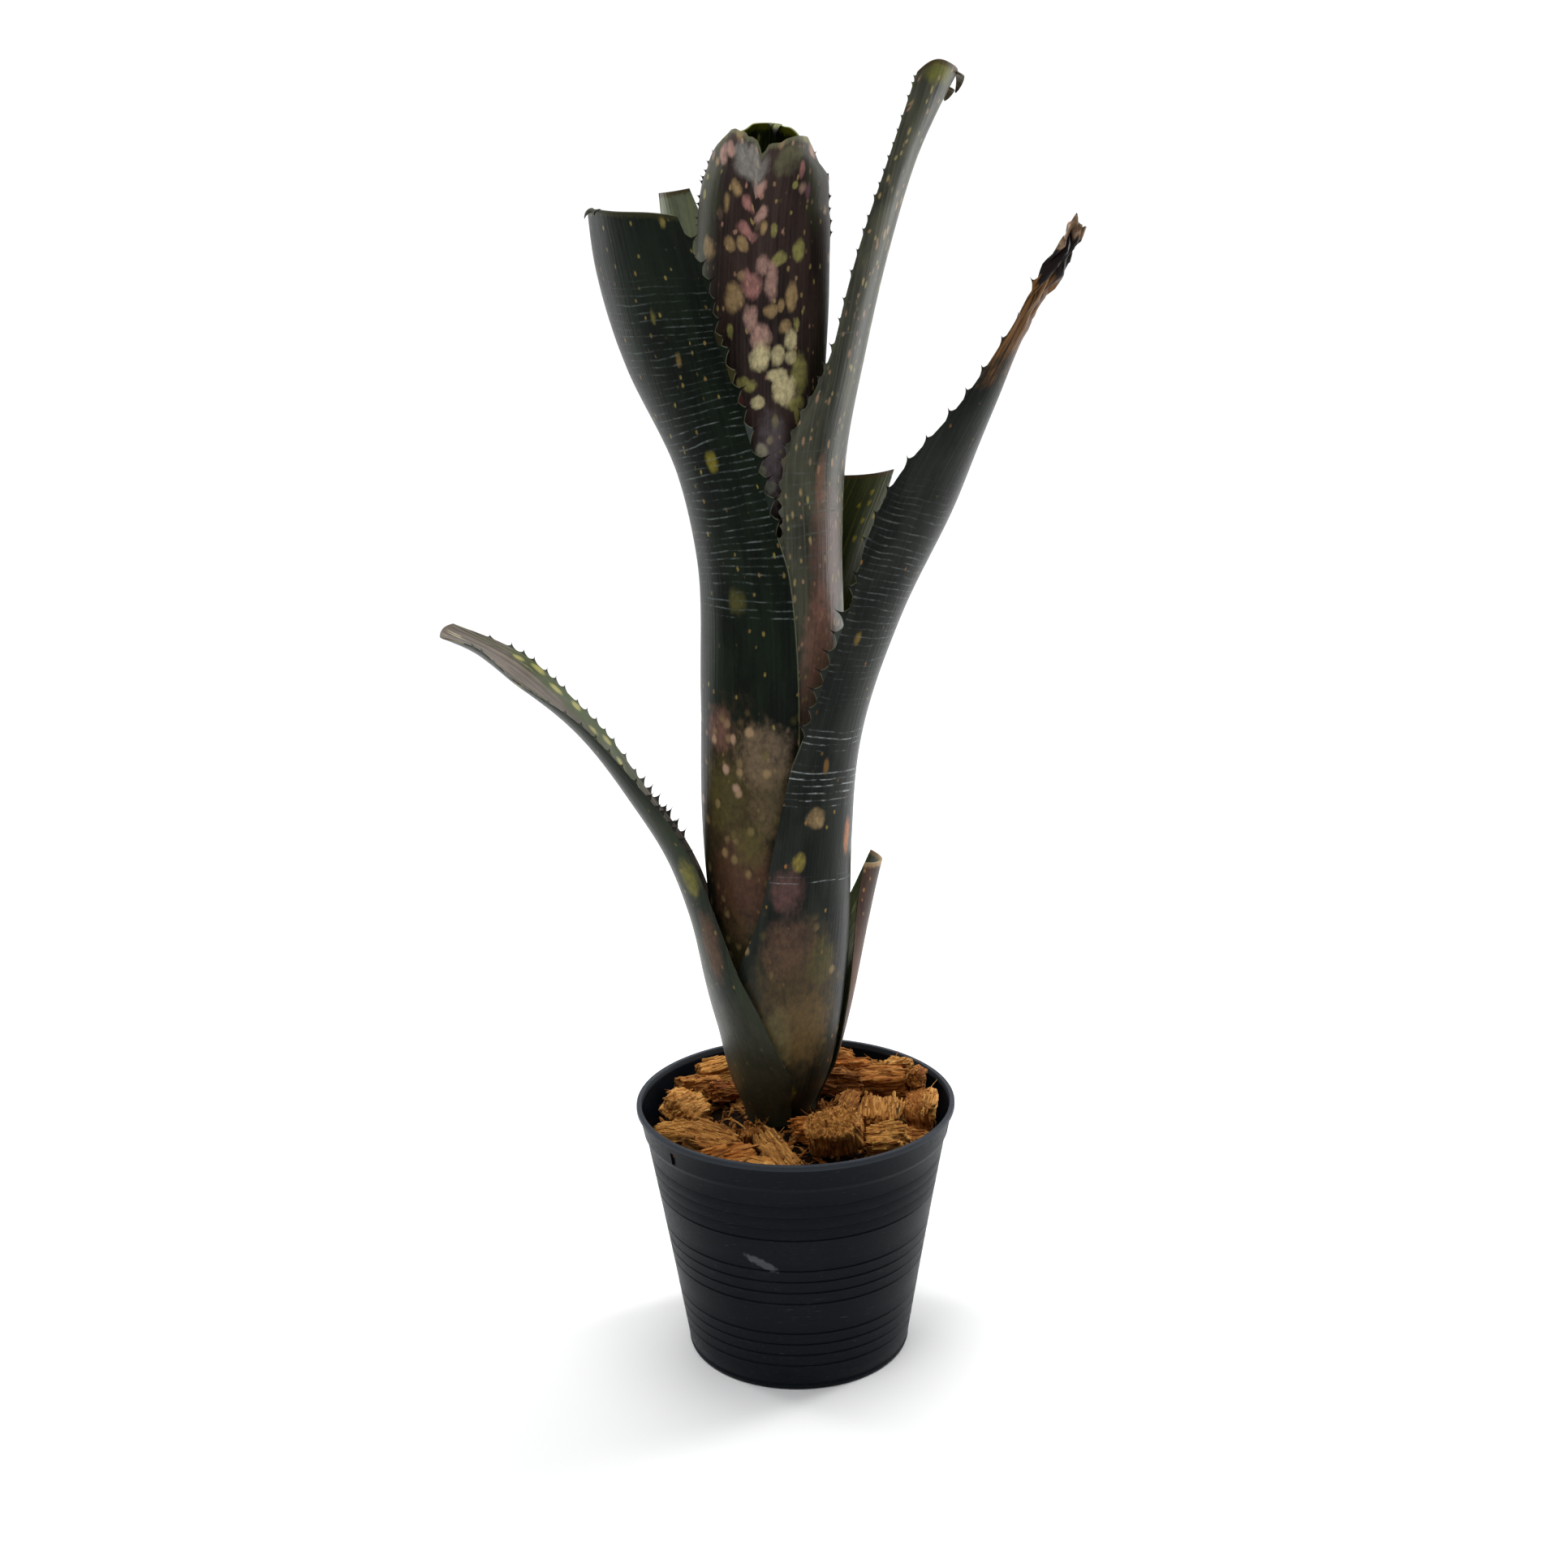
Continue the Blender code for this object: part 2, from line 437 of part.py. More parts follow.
# ---- the husk chips ----------------------------------------------------------------------------
# name, middle (x, y), length, width, thickness, turn about Z, lean about the length, lean about the
# width (millimetres and degrees), and how strongly the block tapers; each comes to rest where it lands
CHIPS = (
    ("chip_dark_splinter", -23.5, 17.0, 10.0, 6.5, 5.0, 40, 10, 12, 0.30, (0.16, 0.060, 0.022)),
    ("chip_left_flat", -36.5, 5.0, 14.0, 13.5, 5.0, 70, 24, 6, 0.15, (0.33, 0.18, 0.08)),
    ("chip_left_round", -34.5, 20.0, 12.5, 10.0, 6.5, 20, -14, 6, 0.20, (0.26, 0.125, 0.048)),
    ("chip_back_left_pale", -28.0, 35.0, 13.0, 8.0, 7.5, 25, -10, -5, 0.25, (0.38, 0.26, 0.13)),
    ("chip_far_left", -40.5, -11.0, 12.0, 9.0, 5.5, -20, 12, -8, 0.20, (0.38, 0.22, 0.10)),
    ("chip_fluffy", -27.0, -18.0, 13.5, 11.0, 6.5, -35, 16, 6, 0.20, (0.30, 0.17, 0.075)),
    ("chip_reddish", -21.0, -31.0, 14.0, 10.0, 6.5, 15, 18, -6, 0.30, (0.28, 0.105, 0.035)),
    ("chip_light_front", -10.0, -38.5, 9.0, 7.0, 5.5, -15, 14, 8, 0.20, (0.42, 0.25, 0.11)),
    ("chip_low_orange", 1.5, -41.0, 9.0, 6.0, 4.5, 5, 10, 0, 0.25, (0.36, 0.16, 0.05)),
    ("chip_big_block", 12.5, -26.0, 15.0, 9.5, 11.5, -8, 34, -10, 0.12, (0.36, 0.19, 0.08)),
    ("chip_grey_plank", -6.0, -27.0, 19.0, 7.0, 3.5, -62, 16, 10, 0.10, (0.26, 0.19, 0.12)),
    ("chip_small_curl", -9.0, -17.0, 8.5, 4.5, 4.0, 12, 18, -4, 0.30, (0.24, 0.12, 0.05)),
    ("chip_orange_flank", 3.6, -16.6, 7.0, 6.0, 6.0, 15, 20, 6, 0.15, (0.38, 0.18, 0.06)),
    ("chip_bright_ridged", 26.5, -23.0, 10.5, 8.0, 8.0, -28, 24, -16, 0.18, (0.44, 0.25, 0.11)),
    ("chip_small_right", 36.5, -20.5, 8.0, 7.5, 6.0, 20, 14, 8, 0.25, (0.24, 0.11, 0.04)),
    ("chip_tangled", 15.5, -6.5, 8.0, 6.5, 5.5, 50, 14, 6, 0.20, (0.27, 0.15, 0.065)),
    ("chip_cross_grain", 28.0, -5.5, 12.0, 10.5, 7.0, -14, 22, 4, 0.10, (0.36, 0.20, 0.085)),
    ("chip_dark_plank", 15.5, 15.0, 15.0, 4.2, 8.5, -38, -10, -12, 0.45, (0.17, 0.12, 0.065)),
    ("chip_big_fibrous", 29.5, 18.0, 15.0, 9.5, 8.5, -12, 12, -8, 0.15, (0.33, 0.155, 0.055)),
    ("chip_tall_right", 39.8, 2.0, 22.0, 7.5, 8.5, 84, -6, 8, 0.15, (0.34, 0.17, 0.065)),
    ("chip_right_edge", 45.5, -8.0, 10.0, 3.5, 5.0, 80, 8, -4, 0.25, (0.36, 0.21, 0.095)),
    ("chip_right_crumb", 43.0, 17.0, 7.0, 4.5, 5.5, 60, 12, 10, 0.25, (0.30, 0.15, 0.06)),
    ("chip_orange_back", 17.5, 30.0, 13.0, 8.0, 7.5, 8, -8, 5, 0.25, (0.40, 0.19, 0.065)),
    ("chip_back_right", 13.5, 41.0, 12.0, 6.5, 8.0, -12, 6, 6, 0.25, (0.26, 0.14, 0.065)),
    ("chip_far_back", 27.0, 37.5, 9.0, 5.5, 6.0, -25, 10, 6, 0.20, (0.34, 0.18, 0.07)),
    ("chip_back_pale", 37.5, 28.5, 8.5, 5.5, 6.0, 35, -12, 8, 0.25, (0.40, 0.24, 0.11)),
    ("chip_inner_right", 17.5, 4.0, 9.0, 6.0, 4.5, 70, 12, -8, 0.25, (0.30, 0.16, 0.065)),
    ("chip_behind_plant", -2.5, 27.0, 12.0, 9.0, 6.5, 25, -10, 5, 0.20, (0.30, 0.15, 0.06)),
    ("chip_behind_left", -13.0, 39.5, 11.0, 8.0, 6.0, -30, 8, -6, 0.25, (0.28, 0.14, 0.055)),
)


def chip_solid(length, width, thick, turn, lean, pitch, taper):
    # a split block of husk: a cube cut into facets, tapered along its length and left uneven
    bm = bmesh.new()
    bmesh.ops.create_cube(bm, size=1.0)
    bmesh.ops.subdivide_edges(bm, edges=list(bm.edges), cuts=1, use_grid_fill=True)
    for k, v in enumerate(bm.verts):
        squeeze = 1.0 - taper * (v.co.x + 0.5)
        corner = 1.0 - 0.16 * (abs(v.co.x) * abs(v.co.y) * 4.0)
        v.co.y *= squeeze * corner
        v.co.z *= (1.0 - 0.5 * taper * (v.co.x + 0.5)) * corner
        v.co += Vector((0.050 * math.sin(5.1 * k + turn), 0.050 * math.sin(3.7 * k + length),
                        0.045 * math.sin(4.3 * k + width)))
    size = Matrix.Diagonal((length * MM, width * MM, thick * MM, 1.0))
    pose = (Matrix.Rotation(math.radians(turn), 4, 'Z') @ Matrix.Rotation(math.radians(pitch), 4, 'Y')
            @ Matrix.Rotation(math.radians(lean), 4, 'X'))
    bmesh.ops.transform(bm, matrix=pose @ size, verts=bm.verts)
    return bm


def holds(tree, point):
    # whether the point lies inside a closed body: looking up from there, the skin is met from within
    hit = tree.ray_cast(point, Vector((0, 0, 1)))
    return hit[0] is not None and hit[1].z > 0.0


def settle(bm, x, y, thick, trees):
    # tried at a few seats close to where it lies, and left in the lowest one that is free: a hair off
    # whatever is under and beside it
    swollen = [v.co * (1.0 + 0.00035 / v.co.length) for v in bm.verts]
    faces = [tuple(v.index for v in f.verts) for f in bm.faces]

    def is_free(place):
        trial = BVHTree.FromPolygons([p + place for p in swollen], faces)
        return not any(trial.overlap(tree) or holds(tree, place) for tree in trees)

    best = None
    for shift_x in SEAT_SHIFTS:
        for shift_y in SEAT_SHIFTS:
            place = Vector(((x + shift_x) * MM, (y + shift_y) * MM, 0.0))
            if place.length + 4.0 * MM > 49.5 * MM:
                continue
            place.z = soil_height(place.length, place.y) + 0.15 * thick * MM
            for _ in range(40):
                if is_free(place):
                    break
                place.z += 0.0005
            else:
                continue
            cost = place.z + 0.35 * MM * math.hypot(shift_x, shift_y)
            if best is None or cost < best[0]:
                best = (cost, place.copy())
    place = best[1]
    for _ in range(4):
        if not is_free(place - Vector((0, 0, 0.0001))):
            break
        place.z -= 0.0001
    bmesh.ops.translate(bm, verts=bm.verts, vec=place)
    return place


bpy.context.view_layer.update()
depsgraph = bpy.context.evaluated_depsgraph_get()
resting_on = []
for thing in [pot, soil] + leaf_objects:
    shape = thing.evaluated_get(depsgraph).to_mesh()
    corners = [v.co.copy() for v in shape.vertices]
    panels = [tuple(p.vertices) for p in shape.polygons]
    resting_on.append(BVHTree.FromPolygons(corners, panels))

for name, x, y, length, width, thick, turn, lean, pitch, taper, colour in CHIPS:
    bm = chip_solid(CHIP_SIZE * length, CHIP_SIZE * width, CHIP_SIZE * thick, turn, lean, pitch, taper)
    bm.verts.index_update()
    seat = settle(bm, x, y, thick, resting_on)
    chip = finish_object(bm, name, make_material(name + "_husk", colour, 0.9))
    print(name, "rests at", [round(c / MM, 1) for c in seat])
    resting_on.append(tree_of([chip]))
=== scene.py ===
# %% [markdown]
# A potted billbergia, dressed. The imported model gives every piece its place: a thin black nursery
# pot, a bed of husk chips, and a rosette of nested sheaths that open into arching, spine-edged
# blades. This lesson makes the fine surface of each piece inside the solids that are already there.

# %% Load the frame
import bpy
import bmesh
import math
import random
import numpy as np
from mathutils import Matrix, Vector, noise
from mathutils.bvhtree import BVHTree


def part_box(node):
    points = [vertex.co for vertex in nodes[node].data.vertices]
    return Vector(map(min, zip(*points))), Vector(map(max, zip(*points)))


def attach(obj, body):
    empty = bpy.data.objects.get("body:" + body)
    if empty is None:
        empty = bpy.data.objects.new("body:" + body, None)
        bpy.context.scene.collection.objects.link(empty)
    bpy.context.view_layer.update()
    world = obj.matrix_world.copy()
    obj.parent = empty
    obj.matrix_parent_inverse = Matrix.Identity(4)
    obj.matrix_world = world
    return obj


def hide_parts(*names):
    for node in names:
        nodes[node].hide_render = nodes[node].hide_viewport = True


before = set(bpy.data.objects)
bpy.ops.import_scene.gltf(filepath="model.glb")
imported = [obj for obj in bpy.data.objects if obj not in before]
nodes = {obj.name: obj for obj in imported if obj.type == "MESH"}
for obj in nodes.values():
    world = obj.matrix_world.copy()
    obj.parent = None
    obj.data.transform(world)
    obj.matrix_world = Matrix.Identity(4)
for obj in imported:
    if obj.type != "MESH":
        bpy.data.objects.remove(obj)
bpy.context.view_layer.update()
MM = 0.001
print("solids in the frame:", len(nodes))

# %% [markdown]
# Most of what is made here starts as a bmesh and ends as an object linked to the scene, and twice a
# modifier works on it in between. Three small functions take up the steps that come back.


# %% Object helpers
def mesh_from(bm, name):
    mesh = bpy.data.meshes.new(name)
    bm.to_mesh(mesh)
    bm.free()
    return mesh


def linked(name, data):
    thing = bpy.data.objects.new(name, data)
    bpy.context.scene.collection.objects.link(thing)
    return thing


def worked_out(blank):
    # the mesh that the blank's modifier makes of it; the blank itself is let go
    bpy.context.view_layer.update()
    mesh = bpy.data.meshes.new_from_object(blank.evaluated_get(bpy.context.evaluated_depsgraph_get()))
    bpy.data.objects.remove(blank)
    return mesh


print("object helpers ready")

# %% [markdown]
# A camera looks along its own -Z. Its place is in front of the plant at leaf height, tipped down a
# little, so that the rim of the pot and the chips inside it are seen from above. A slight roll
# leans the plant, as a hand-held view does. The matrix is put together from its three directions.

# %% Camera
VIEW_POINT = Vector((0.0, -0.597, 0.3485))
VIEW_PITCH = math.radians(14.6)
VIEW_YAW = math.radians(-0.2)
VIEW_ROLL = math.radians(0.94)
LENS = 44.7

level_right = Vector((math.cos(VIEW_YAW), -math.sin(VIEW_YAW), 0.0))
forward = Vector((math.sin(VIEW_YAW) * math.cos(VIEW_PITCH), math.cos(VIEW_YAW) * math.cos(VIEW_PITCH),
                  -math.sin(VIEW_PITCH)))
level_up = level_right.cross(forward)
right = level_right * math.cos(VIEW_ROLL) - level_up * math.sin(VIEW_ROLL)
up = level_right * math.sin(VIEW_ROLL) + level_up * math.cos(VIEW_ROLL)
turn = Matrix((right, up, -forward)).transposed().to_4x4()
camera_data = bpy.data.cameras.new("studio_camera")
camera_data.lens = LENS
camera_data.sensor_width = 36.0
camera_data.clip_start = 0.01
camera = linked("studio_camera", camera_data)
camera.matrix_world = Matrix.Translation(VIEW_POINT) @ turn
bpy.context.scene.camera = camera
print("camera at", tuple(round(c, 3) for c in VIEW_POINT))

# %% [markdown]
# Dark glossy leaves are read by what they mirror, so the studio is a white sweep with large soft
# panels: one high on the left in front, and one tall panel on each side for the pale edge light
# that runs down the stems. A sweep has no horizon, which keeps the background even.


# %% Lights and floor
def soft_panel(name, place, target, width, height, power):
    data = bpy.data.lights.new(name, 'AREA')
    data.shape = 'RECTANGLE'
    data.size = width
    data.size_y = height
    data.energy = power
    aim = (Vector(target) - Vector(place)).to_track_quat('-Z', 'Y').to_matrix().to_4x4()
    linked(name, data).matrix_world = Matrix.Translation(place) @ aim


soft_panel("key_panel", (-0.35, -0.55, 1.35), (0, 0, 0.22), 0.6, 0.6, 6.0)
soft_panel("left_strip", (-0.9, 0.55, 0.42), (0, 0, 0.24), 0.3, 1.3, 3.5)
soft_panel("right_strip", (0.9, 0.45, 0.42), (0, 0, 0.24), 0.3, 1.3, 9.0)
soft_panel("top_panel", (0.05, 0.15, 1.6), (0, 0, 0.0), 1.2, 1.2, 19.0)
soft_panel("sweep_left", (-1.5, 0.9, 1.2), (-0.3, 2.3, 0.9), 1.2, 1.2, 22.0)
soft_panel("sweep_right", (1.5, 0.9, 1.2), (0.3, 2.3, 0.9), 1.2, 1.2, 22.0)

world = bpy.data.worlds.new("pale_room")
world.use_nodes = True
sky = world.node_tree.nodes["Background"].inputs
sky["Color"].default_value = (0.93, 0.96, 1.0, 1.0)
sky["Strength"].default_value = 0.2
bpy.context.scene.world = world
bpy.context.scene.view_settings.view_transform = 'Standard'
print("lamps:", len(bpy.data.lights))

SWEEP_DEPTH = 1.6
SWEEP_BEND = 0.8
SWEEP_FRONT = -2.5
SWEEP_HALF = 3.0
SWEEP_TOP = 3.0
BEND_STEPS = 12
bm = bmesh.new()
line = [bm.verts.new((-SWEEP_HALF, y, 0.0)) for y in (SWEEP_FRONT, SWEEP_DEPTH)]
for k in range(1, BEND_STEPS + 1):
    a = math.radians(90.0) * k / BEND_STEPS
    line.append(bm.verts.new((-SWEEP_HALF, SWEEP_DEPTH + SWEEP_BEND * math.sin(a),
                              SWEEP_BEND * (1 - math.cos(a)))))
line.append(bm.verts.new((-SWEEP_HALF, SWEEP_DEPTH + SWEEP_BEND, SWEEP_TOP)))
edges = [bm.edges.new((line[k], line[k + 1])) for k in range(len(line) - 1)]
swept = bmesh.ops.extrude_edge_only(bm, edges=edges)
bmesh.ops.translate(bm, vec=(2.0 * SWEEP_HALF, 0.0, 0.0),
                    verts=[g for g in swept["geom"] if isinstance(g, bmesh.types.BMVert)])
sweep_mesh = mesh_from(bm, "studio_sweep")
sweep_mesh.shade_smooth()
sweep = linked("studio_sweep", sweep_mesh)
sweep_paint = bpy.data.materials.new("sweep_paint")
sweep_paint.use_nodes = True
paint = sweep_paint.node_tree.nodes["Principled BSDF"].inputs
paint["Base Color"].default_value = (0.9, 0.9, 0.9, 1)
paint["Roughness"].default_value = 0.9
sweep_mesh.materials.append(sweep_paint)
print("sweep with", len(sweep_mesh.polygons), "faces")

# %% [markdown]
# A material is arithmetic on patterns. Each pattern is a socket in the node tree. The class below
# wraps one socket, so that `0.4 + 0.2 * grain` adds the Math nodes by itself. Every other kind of
# node comes from one method, which sets the node's settings first and then its sockets.


# %% Shader arithmetic
class Pattern:
    def __init__(self, socket):
        self.socket = socket
        self.tree = socket.id_data

    @staticmethod
    def node(tree, kind, settings=None, sockets=None):
        made = tree.nodes.new(kind)
        for key, value in (settings or {}).items():
            setattr(made, key, value)
        for key, value in (sockets or {}).items():
            if isinstance(value, Pattern):
                tree.links.new(value.socket, made.inputs[key])
            else:
                made.inputs[key].default_value = value
        return made

    def maths(self, operation, *others, swapped=False):
        values = [self, *others]
        if swapped:
            values.reverse()
        made = self.node(self.tree, 'ShaderNodeMath', {"operation": operation}, dict(enumerate(values)))
        return Pattern(made.outputs[0])

    def __add__(self, other):
        return self.maths('ADD', other)

    def __radd__(self, other):
        return self.maths('ADD', other)

    def __sub__(self, other):
        return self.maths('SUBTRACT', other)

    def __rsub__(self, other):
        return self.maths('SUBTRACT', other, swapped=True)

    def __mul__(self, other):
        return self.maths('MULTIPLY', other)

    def __rmul__(self, other):
        return self.maths('MULTIPLY', other)

    def __truediv__(self, other):
        return self.maths('DIVIDE', other)

    def __pow__(self, other):
        return self.maths('POWER', other)

    def most(self, other):
        return self.maths('MAXIMUM', other)

    def between(self, low, high):
        # 0 below low, 1 above high, and an S-curve from one to the other; low may be the larger
        made = self.node(self.tree, 'ShaderNodeMapRange', {"interpolation_type": 'SMOOTHSTEP'},
                         {"Value": self, "From Min": min(low, high), "From Max": max(low, high),
                          "To Min": 0.0 if low < high else 1.0, "To Max": 1.0 if low < high else 0.0})
        return Pattern(made.outputs["Result"])


def srgb(red, green, blue):
    # a screen colour, 0 to 255, as the linear colour that a shader takes
    return tuple(((c / 255 + 0.055) / 1.055) ** 2.4 if c > 10 else c / 255 / 12.92
                 for c in (red, green, blue))


def blend(factor, first, second):
    # from the first colour to the second as factor goes from 0 to 1
    colours = [c if isinstance(c, Pattern) else (*c, 1.0) for c in (first, second)]
    made = Pattern.node(factor.tree, 'ShaderNodeMix', {"data_type": 'RGBA'},
                        {0: factor, 6: colours[0], 7: colours[1]})
    return Pattern(made.outputs[2])


def stretched(tree, vector, scales, offset=(0.0, 0.0, 0.0)):
    # the same coordinates, squeezed or drawn out along each axis
    made = Pattern.node(tree, 'ShaderNodeMapping', {},
                        {"Vector": vector, "Scale": scales, "Location": offset})
    return Pattern(made.outputs["Vector"])


def cloud(tree, vector, scales, detail=3.0, rough=0.5, offset=(0.0, 0.0, 0.0), twist=0.0):
    # soft fractal noise around 0.5
    made = Pattern.node(tree, 'ShaderNodeTexNoise', {},
                        {"Vector": stretched(tree, vector, scales, offset), "Scale": 1.0,
                         "Detail": detail, "Roughness": rough, "Distortion": twist})
    return Pattern(made.outputs[0])


def cells(tree, vector, scales, offset=(0.0, 0.0, 0.0)):
    # how far the nearest cell centre is, and a random number for that cell
    made = Pattern.node(tree, 'ShaderNodeTexVoronoi', {},
                        {"Vector": stretched(tree, vector, scales, offset), "Scale": 1.0})
    split = Pattern.node(tree, 'ShaderNodeSeparateColor', {}, {"Color": Pattern(made.outputs["Color"])})
    return Pattern(made.outputs["Distance"]), Pattern(split.outputs[0]), Pattern(split.outputs[1])


def parts(tree, vector):
    # the three numbers of a vector, each as a pattern
    split = Pattern.node(tree, 'ShaderNodeSeparateXYZ', {}, {0: vector})
    return [Pattern(split.outputs[k]) for k in range(3)]


def attribute(tree, name):
    # a vector that the mesh carries at every point
    made = Pattern.node(tree, 'ShaderNodeAttribute', {"attribute_name": name})
    return Pattern(made.outputs["Vector"])


def new_finish(name, coordinates="Object", **constants):
    # a material, its tree, its Principled shader, and the coordinates that its patterns read
    finish = bpy.data.materials.new(name)
    finish.use_nodes = True
    tree = finish.node_tree
    shader = tree.nodes["Principled BSDF"]
    for key, value in constants.items():
        shader.inputs[key.replace("_", " ")].default_value = value
    if coordinates != "Object":
        return finish, tree, shader, attribute(tree, coordinates)
    metres = Pattern(Pattern.node(tree, 'ShaderNodeTexCoord').outputs["Object"])
    made = Pattern.node(tree, 'ShaderNodeVectorMath', {"operation": 'SCALE'}, {0: metres, "Scale": 1.0 / MM})
    return finish, tree, shader, Pattern(made.outputs[0])


def feed(tree, shader, socket, pattern):
    tree.links.new(pattern.socket, shader.inputs[socket])


def raise_surface(tree, shader, height, distance):
    made = Pattern.node(tree, 'ShaderNodeBump', {}, {"Height": height, "Distance": distance,
                                                     "Strength": 1.0})
    tree.links.new(made.outputs["Normal"], shader.inputs["Normal"])


print("shader helpers ready")

# %% [markdown]
# The finishing of a mesh is the same for every piece: doubles merged, faces turned outwards, smooth
# shading with sharp creases kept, the materials put in their slots, and the piece tied to the body
# that carries it.


# %% Finishing a piece
def finish_piece(bm, name, finishes, stands_for, crease=40.0, merge=0.00001, turn_faces=True):
    if merge:
        bmesh.ops.remove_doubles(bm, verts=bm.verts, dist=merge)
    if turn_faces:
        bmesh.ops.recalc_face_normals(bm, faces=bm.faces)
    mesh = mesh_from(bm, name)
    for finish in finishes:
        mesh.materials.append(finish)
    mesh.shade_smooth()
    mesh.set_sharp_from_angle(angle=math.radians(crease))
    piece = linked(name, mesh)
    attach(piece, "root")
    for node in stands_for:
        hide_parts(node)
    print(name, "has", sum(len(p.vertices) - 2 for p in mesh.polygons), "triangles")
    return piece


def tree_of(meshes):
    points = []
    panels = []
    for mesh in meshes:
        base = len(points)
        points += [v.co.copy() for v in mesh.vertices]
        panels += [tuple(base + k for k in p.vertices) for p in mesh.polygons]
    return BVHTree.FromPolygons(points, panels)


print("finishing helpers ready")

# %% [markdown]
# The pot is formed from one thin sheet of black plastic, so it is a turned shape. A profile is
# drawn once, from the middle of the foot up the ringed wall, over the rolled lip and back down
# inside, and `spin` sweeps it round. The rings are shallow grooves in the profile, because they
# catch the light as real lines and not only as shading.

# %% Pot profile
POT_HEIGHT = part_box("pot")[1].z / MM
LIP_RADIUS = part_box("pot")[1].x / MM
POT_WALL = 1.0
LIP_BAND = 1.8
COLLAR_TOP = (51.7, POT_HEIGHT - LIP_BAND)
COLLAR_FOOT = (50.4, 77.2)
SHOULDER = (49.6, 76.2)
FOOT_RADIUS = 36.8
WALL_FLARE = 0.08
# The rings come in three bands of four. The upper rings of the top band are fainter.
RING_TOP = 70.5
BAND_STEP = 24.2
RING_STEP = 4.2
RING_HEIGHTS = [RING_TOP - BAND_STEP * band - RING_STEP * ring for band in range(3) for ring in range(4)]
FAINT_RINGS = RING_HEIGHTS[:3]
RING_DEPTH = 0.30
FAINT_DEPTH = 0.16
RING_HALF = 0.42
# a ring in section: steps up the wall in parts of its half height, and how deep it is at each
RING_SECTION = ((-1.0, 0.0), (-0.55, 0.55), (0.0, 1.0), (0.35, 0.9), (0.8, -0.18), (1.5, 0.0))
PLAIN_LEVELS = [6.0, 26.0, 30.0, 50.0, 54.0, 74.0]
FLOOR_Z = 2.4
PAD_RADIUS = 14.0


def wall_radius(z):
    rise = z / SHOULDER[1]
    return FOOT_RADIUS + (SHOULDER[0] - FOOT_RADIUS) * rise * (1.0 - WALL_FLARE * (1.0 - rise))


def ringed_wall():
    # up the outside of the wall, with a soft groove at each ring
    points = [(FOOT_RADIUS - 0.6, 0.0), (FOOT_RADIUS + 0.05, 0.35), (FOOT_RADIUS + 0.35, 1.2),
              (wall_radius(2.1) - 0.25, 2.1), (wall_radius(2.9), 2.9)]
    for z in sorted(RING_HEIGHTS + PLAIN_LEVELS):
        if z not in RING_HEIGHTS:
            points.append((wall_radius(z), z))
            continue
        depth = FAINT_DEPTH if z in FAINT_RINGS else RING_DEPTH
        for offset, share in RING_SECTION:
            level = z + offset * RING_HALF
            points.append((wall_radius(level) - share * depth, level))
    return points


outside = ringed_wall()
outside += [(SHOULDER[0] - 0.02, SHOULDER[1] - 0.5), (SHOULDER[0] + 0.1, SHOULDER[1]),
            (COLLAR_FOOT[0] - 0.1, COLLAR_FOOT[1] - 0.15), (COLLAR_FOOT[0], COLLAR_FOOT[1] + 0.4),
            (COLLAR_TOP[0] - 0.1, COLLAR_TOP[1] - 0.4), (COLLAR_TOP[0] + 0.05, COLLAR_TOP[1] - 0.05),
            (LIP_RADIUS - 0.12, COLLAR_TOP[1] + 0.08), (LIP_RADIUS, COLLAR_TOP[1] + 0.4)]
for k in range(5):
    a = math.radians(90.0 * k / 4)
    outside.append((LIP_RADIUS - 0.45 + 0.45 * math.cos(a), POT_HEIGHT - 0.45 + 0.45 * math.sin(a)))
inside = [(COLLAR_TOP[0] - 0.75, POT_HEIGHT - 0.05), (COLLAR_TOP[0] - 1.0, POT_HEIGHT - 0.5),
          (COLLAR_TOP[0] - 1.05, POT_HEIGHT - 2.4), (COLLAR_FOOT[0] - 1.1, COLLAR_FOOT[1]),
          (SHOULDER[0] - 1.05, SHOULDER[1] - 0.6)]
inside += [(wall_radius(z) - POT_WALL, z) for z in (64.0, 48.0, 30.0, 12.0)]
inside += [(FOOT_RADIUS - 1.0, 4.2), (FOOT_RADIUS - 1.9, FLOOR_Z), (0.0, FLOOR_Z)]
underside = [(0.0, 0.0), (PAD_RADIUS, 0.0), (PAD_RADIUS + 0.6, 1.4), (FOOT_RADIUS - 4.0, 1.4),
             (FOOT_RADIUS - 3.4, 0.0)]
pot_line = underside + outside + inside
print("pot profile points:", len(pot_line))


def room_in_pot(z):
    # how far from the pot's axis the inner face of its wall is, at a height
    rising = inside[::-1]
    return float(np.interp(z, [level for _, level in rising], [radius for radius, _ in rising]))


# %% Spin and pierce the pot
POT_SEGMENTS = 128
bm = bmesh.new()
rim_points = [bm.verts.new((x * MM, 0.0, z * MM)) for x, z in pot_line]
rim_edges = [bm.edges.new((rim_points[k], rim_points[k + 1])) for k in range(len(rim_points) - 1)]
bmesh.ops.spin(bm, geom=rim_points + rim_edges, cent=(0, 0, 0), axis=(0, 0, 1), dvec=(0, 0, 0),
               angle=math.tau, steps=POT_SEGMENTS, use_merge=True, use_duplicate=False)
bmesh.ops.remove_doubles(bm, verts=bm.verts, dist=0.00001)
bmesh.ops.recalc_face_normals(bm, faces=bm.faces)
blank = linked("pot_blank", mesh_from(bm, "pot_turned"))

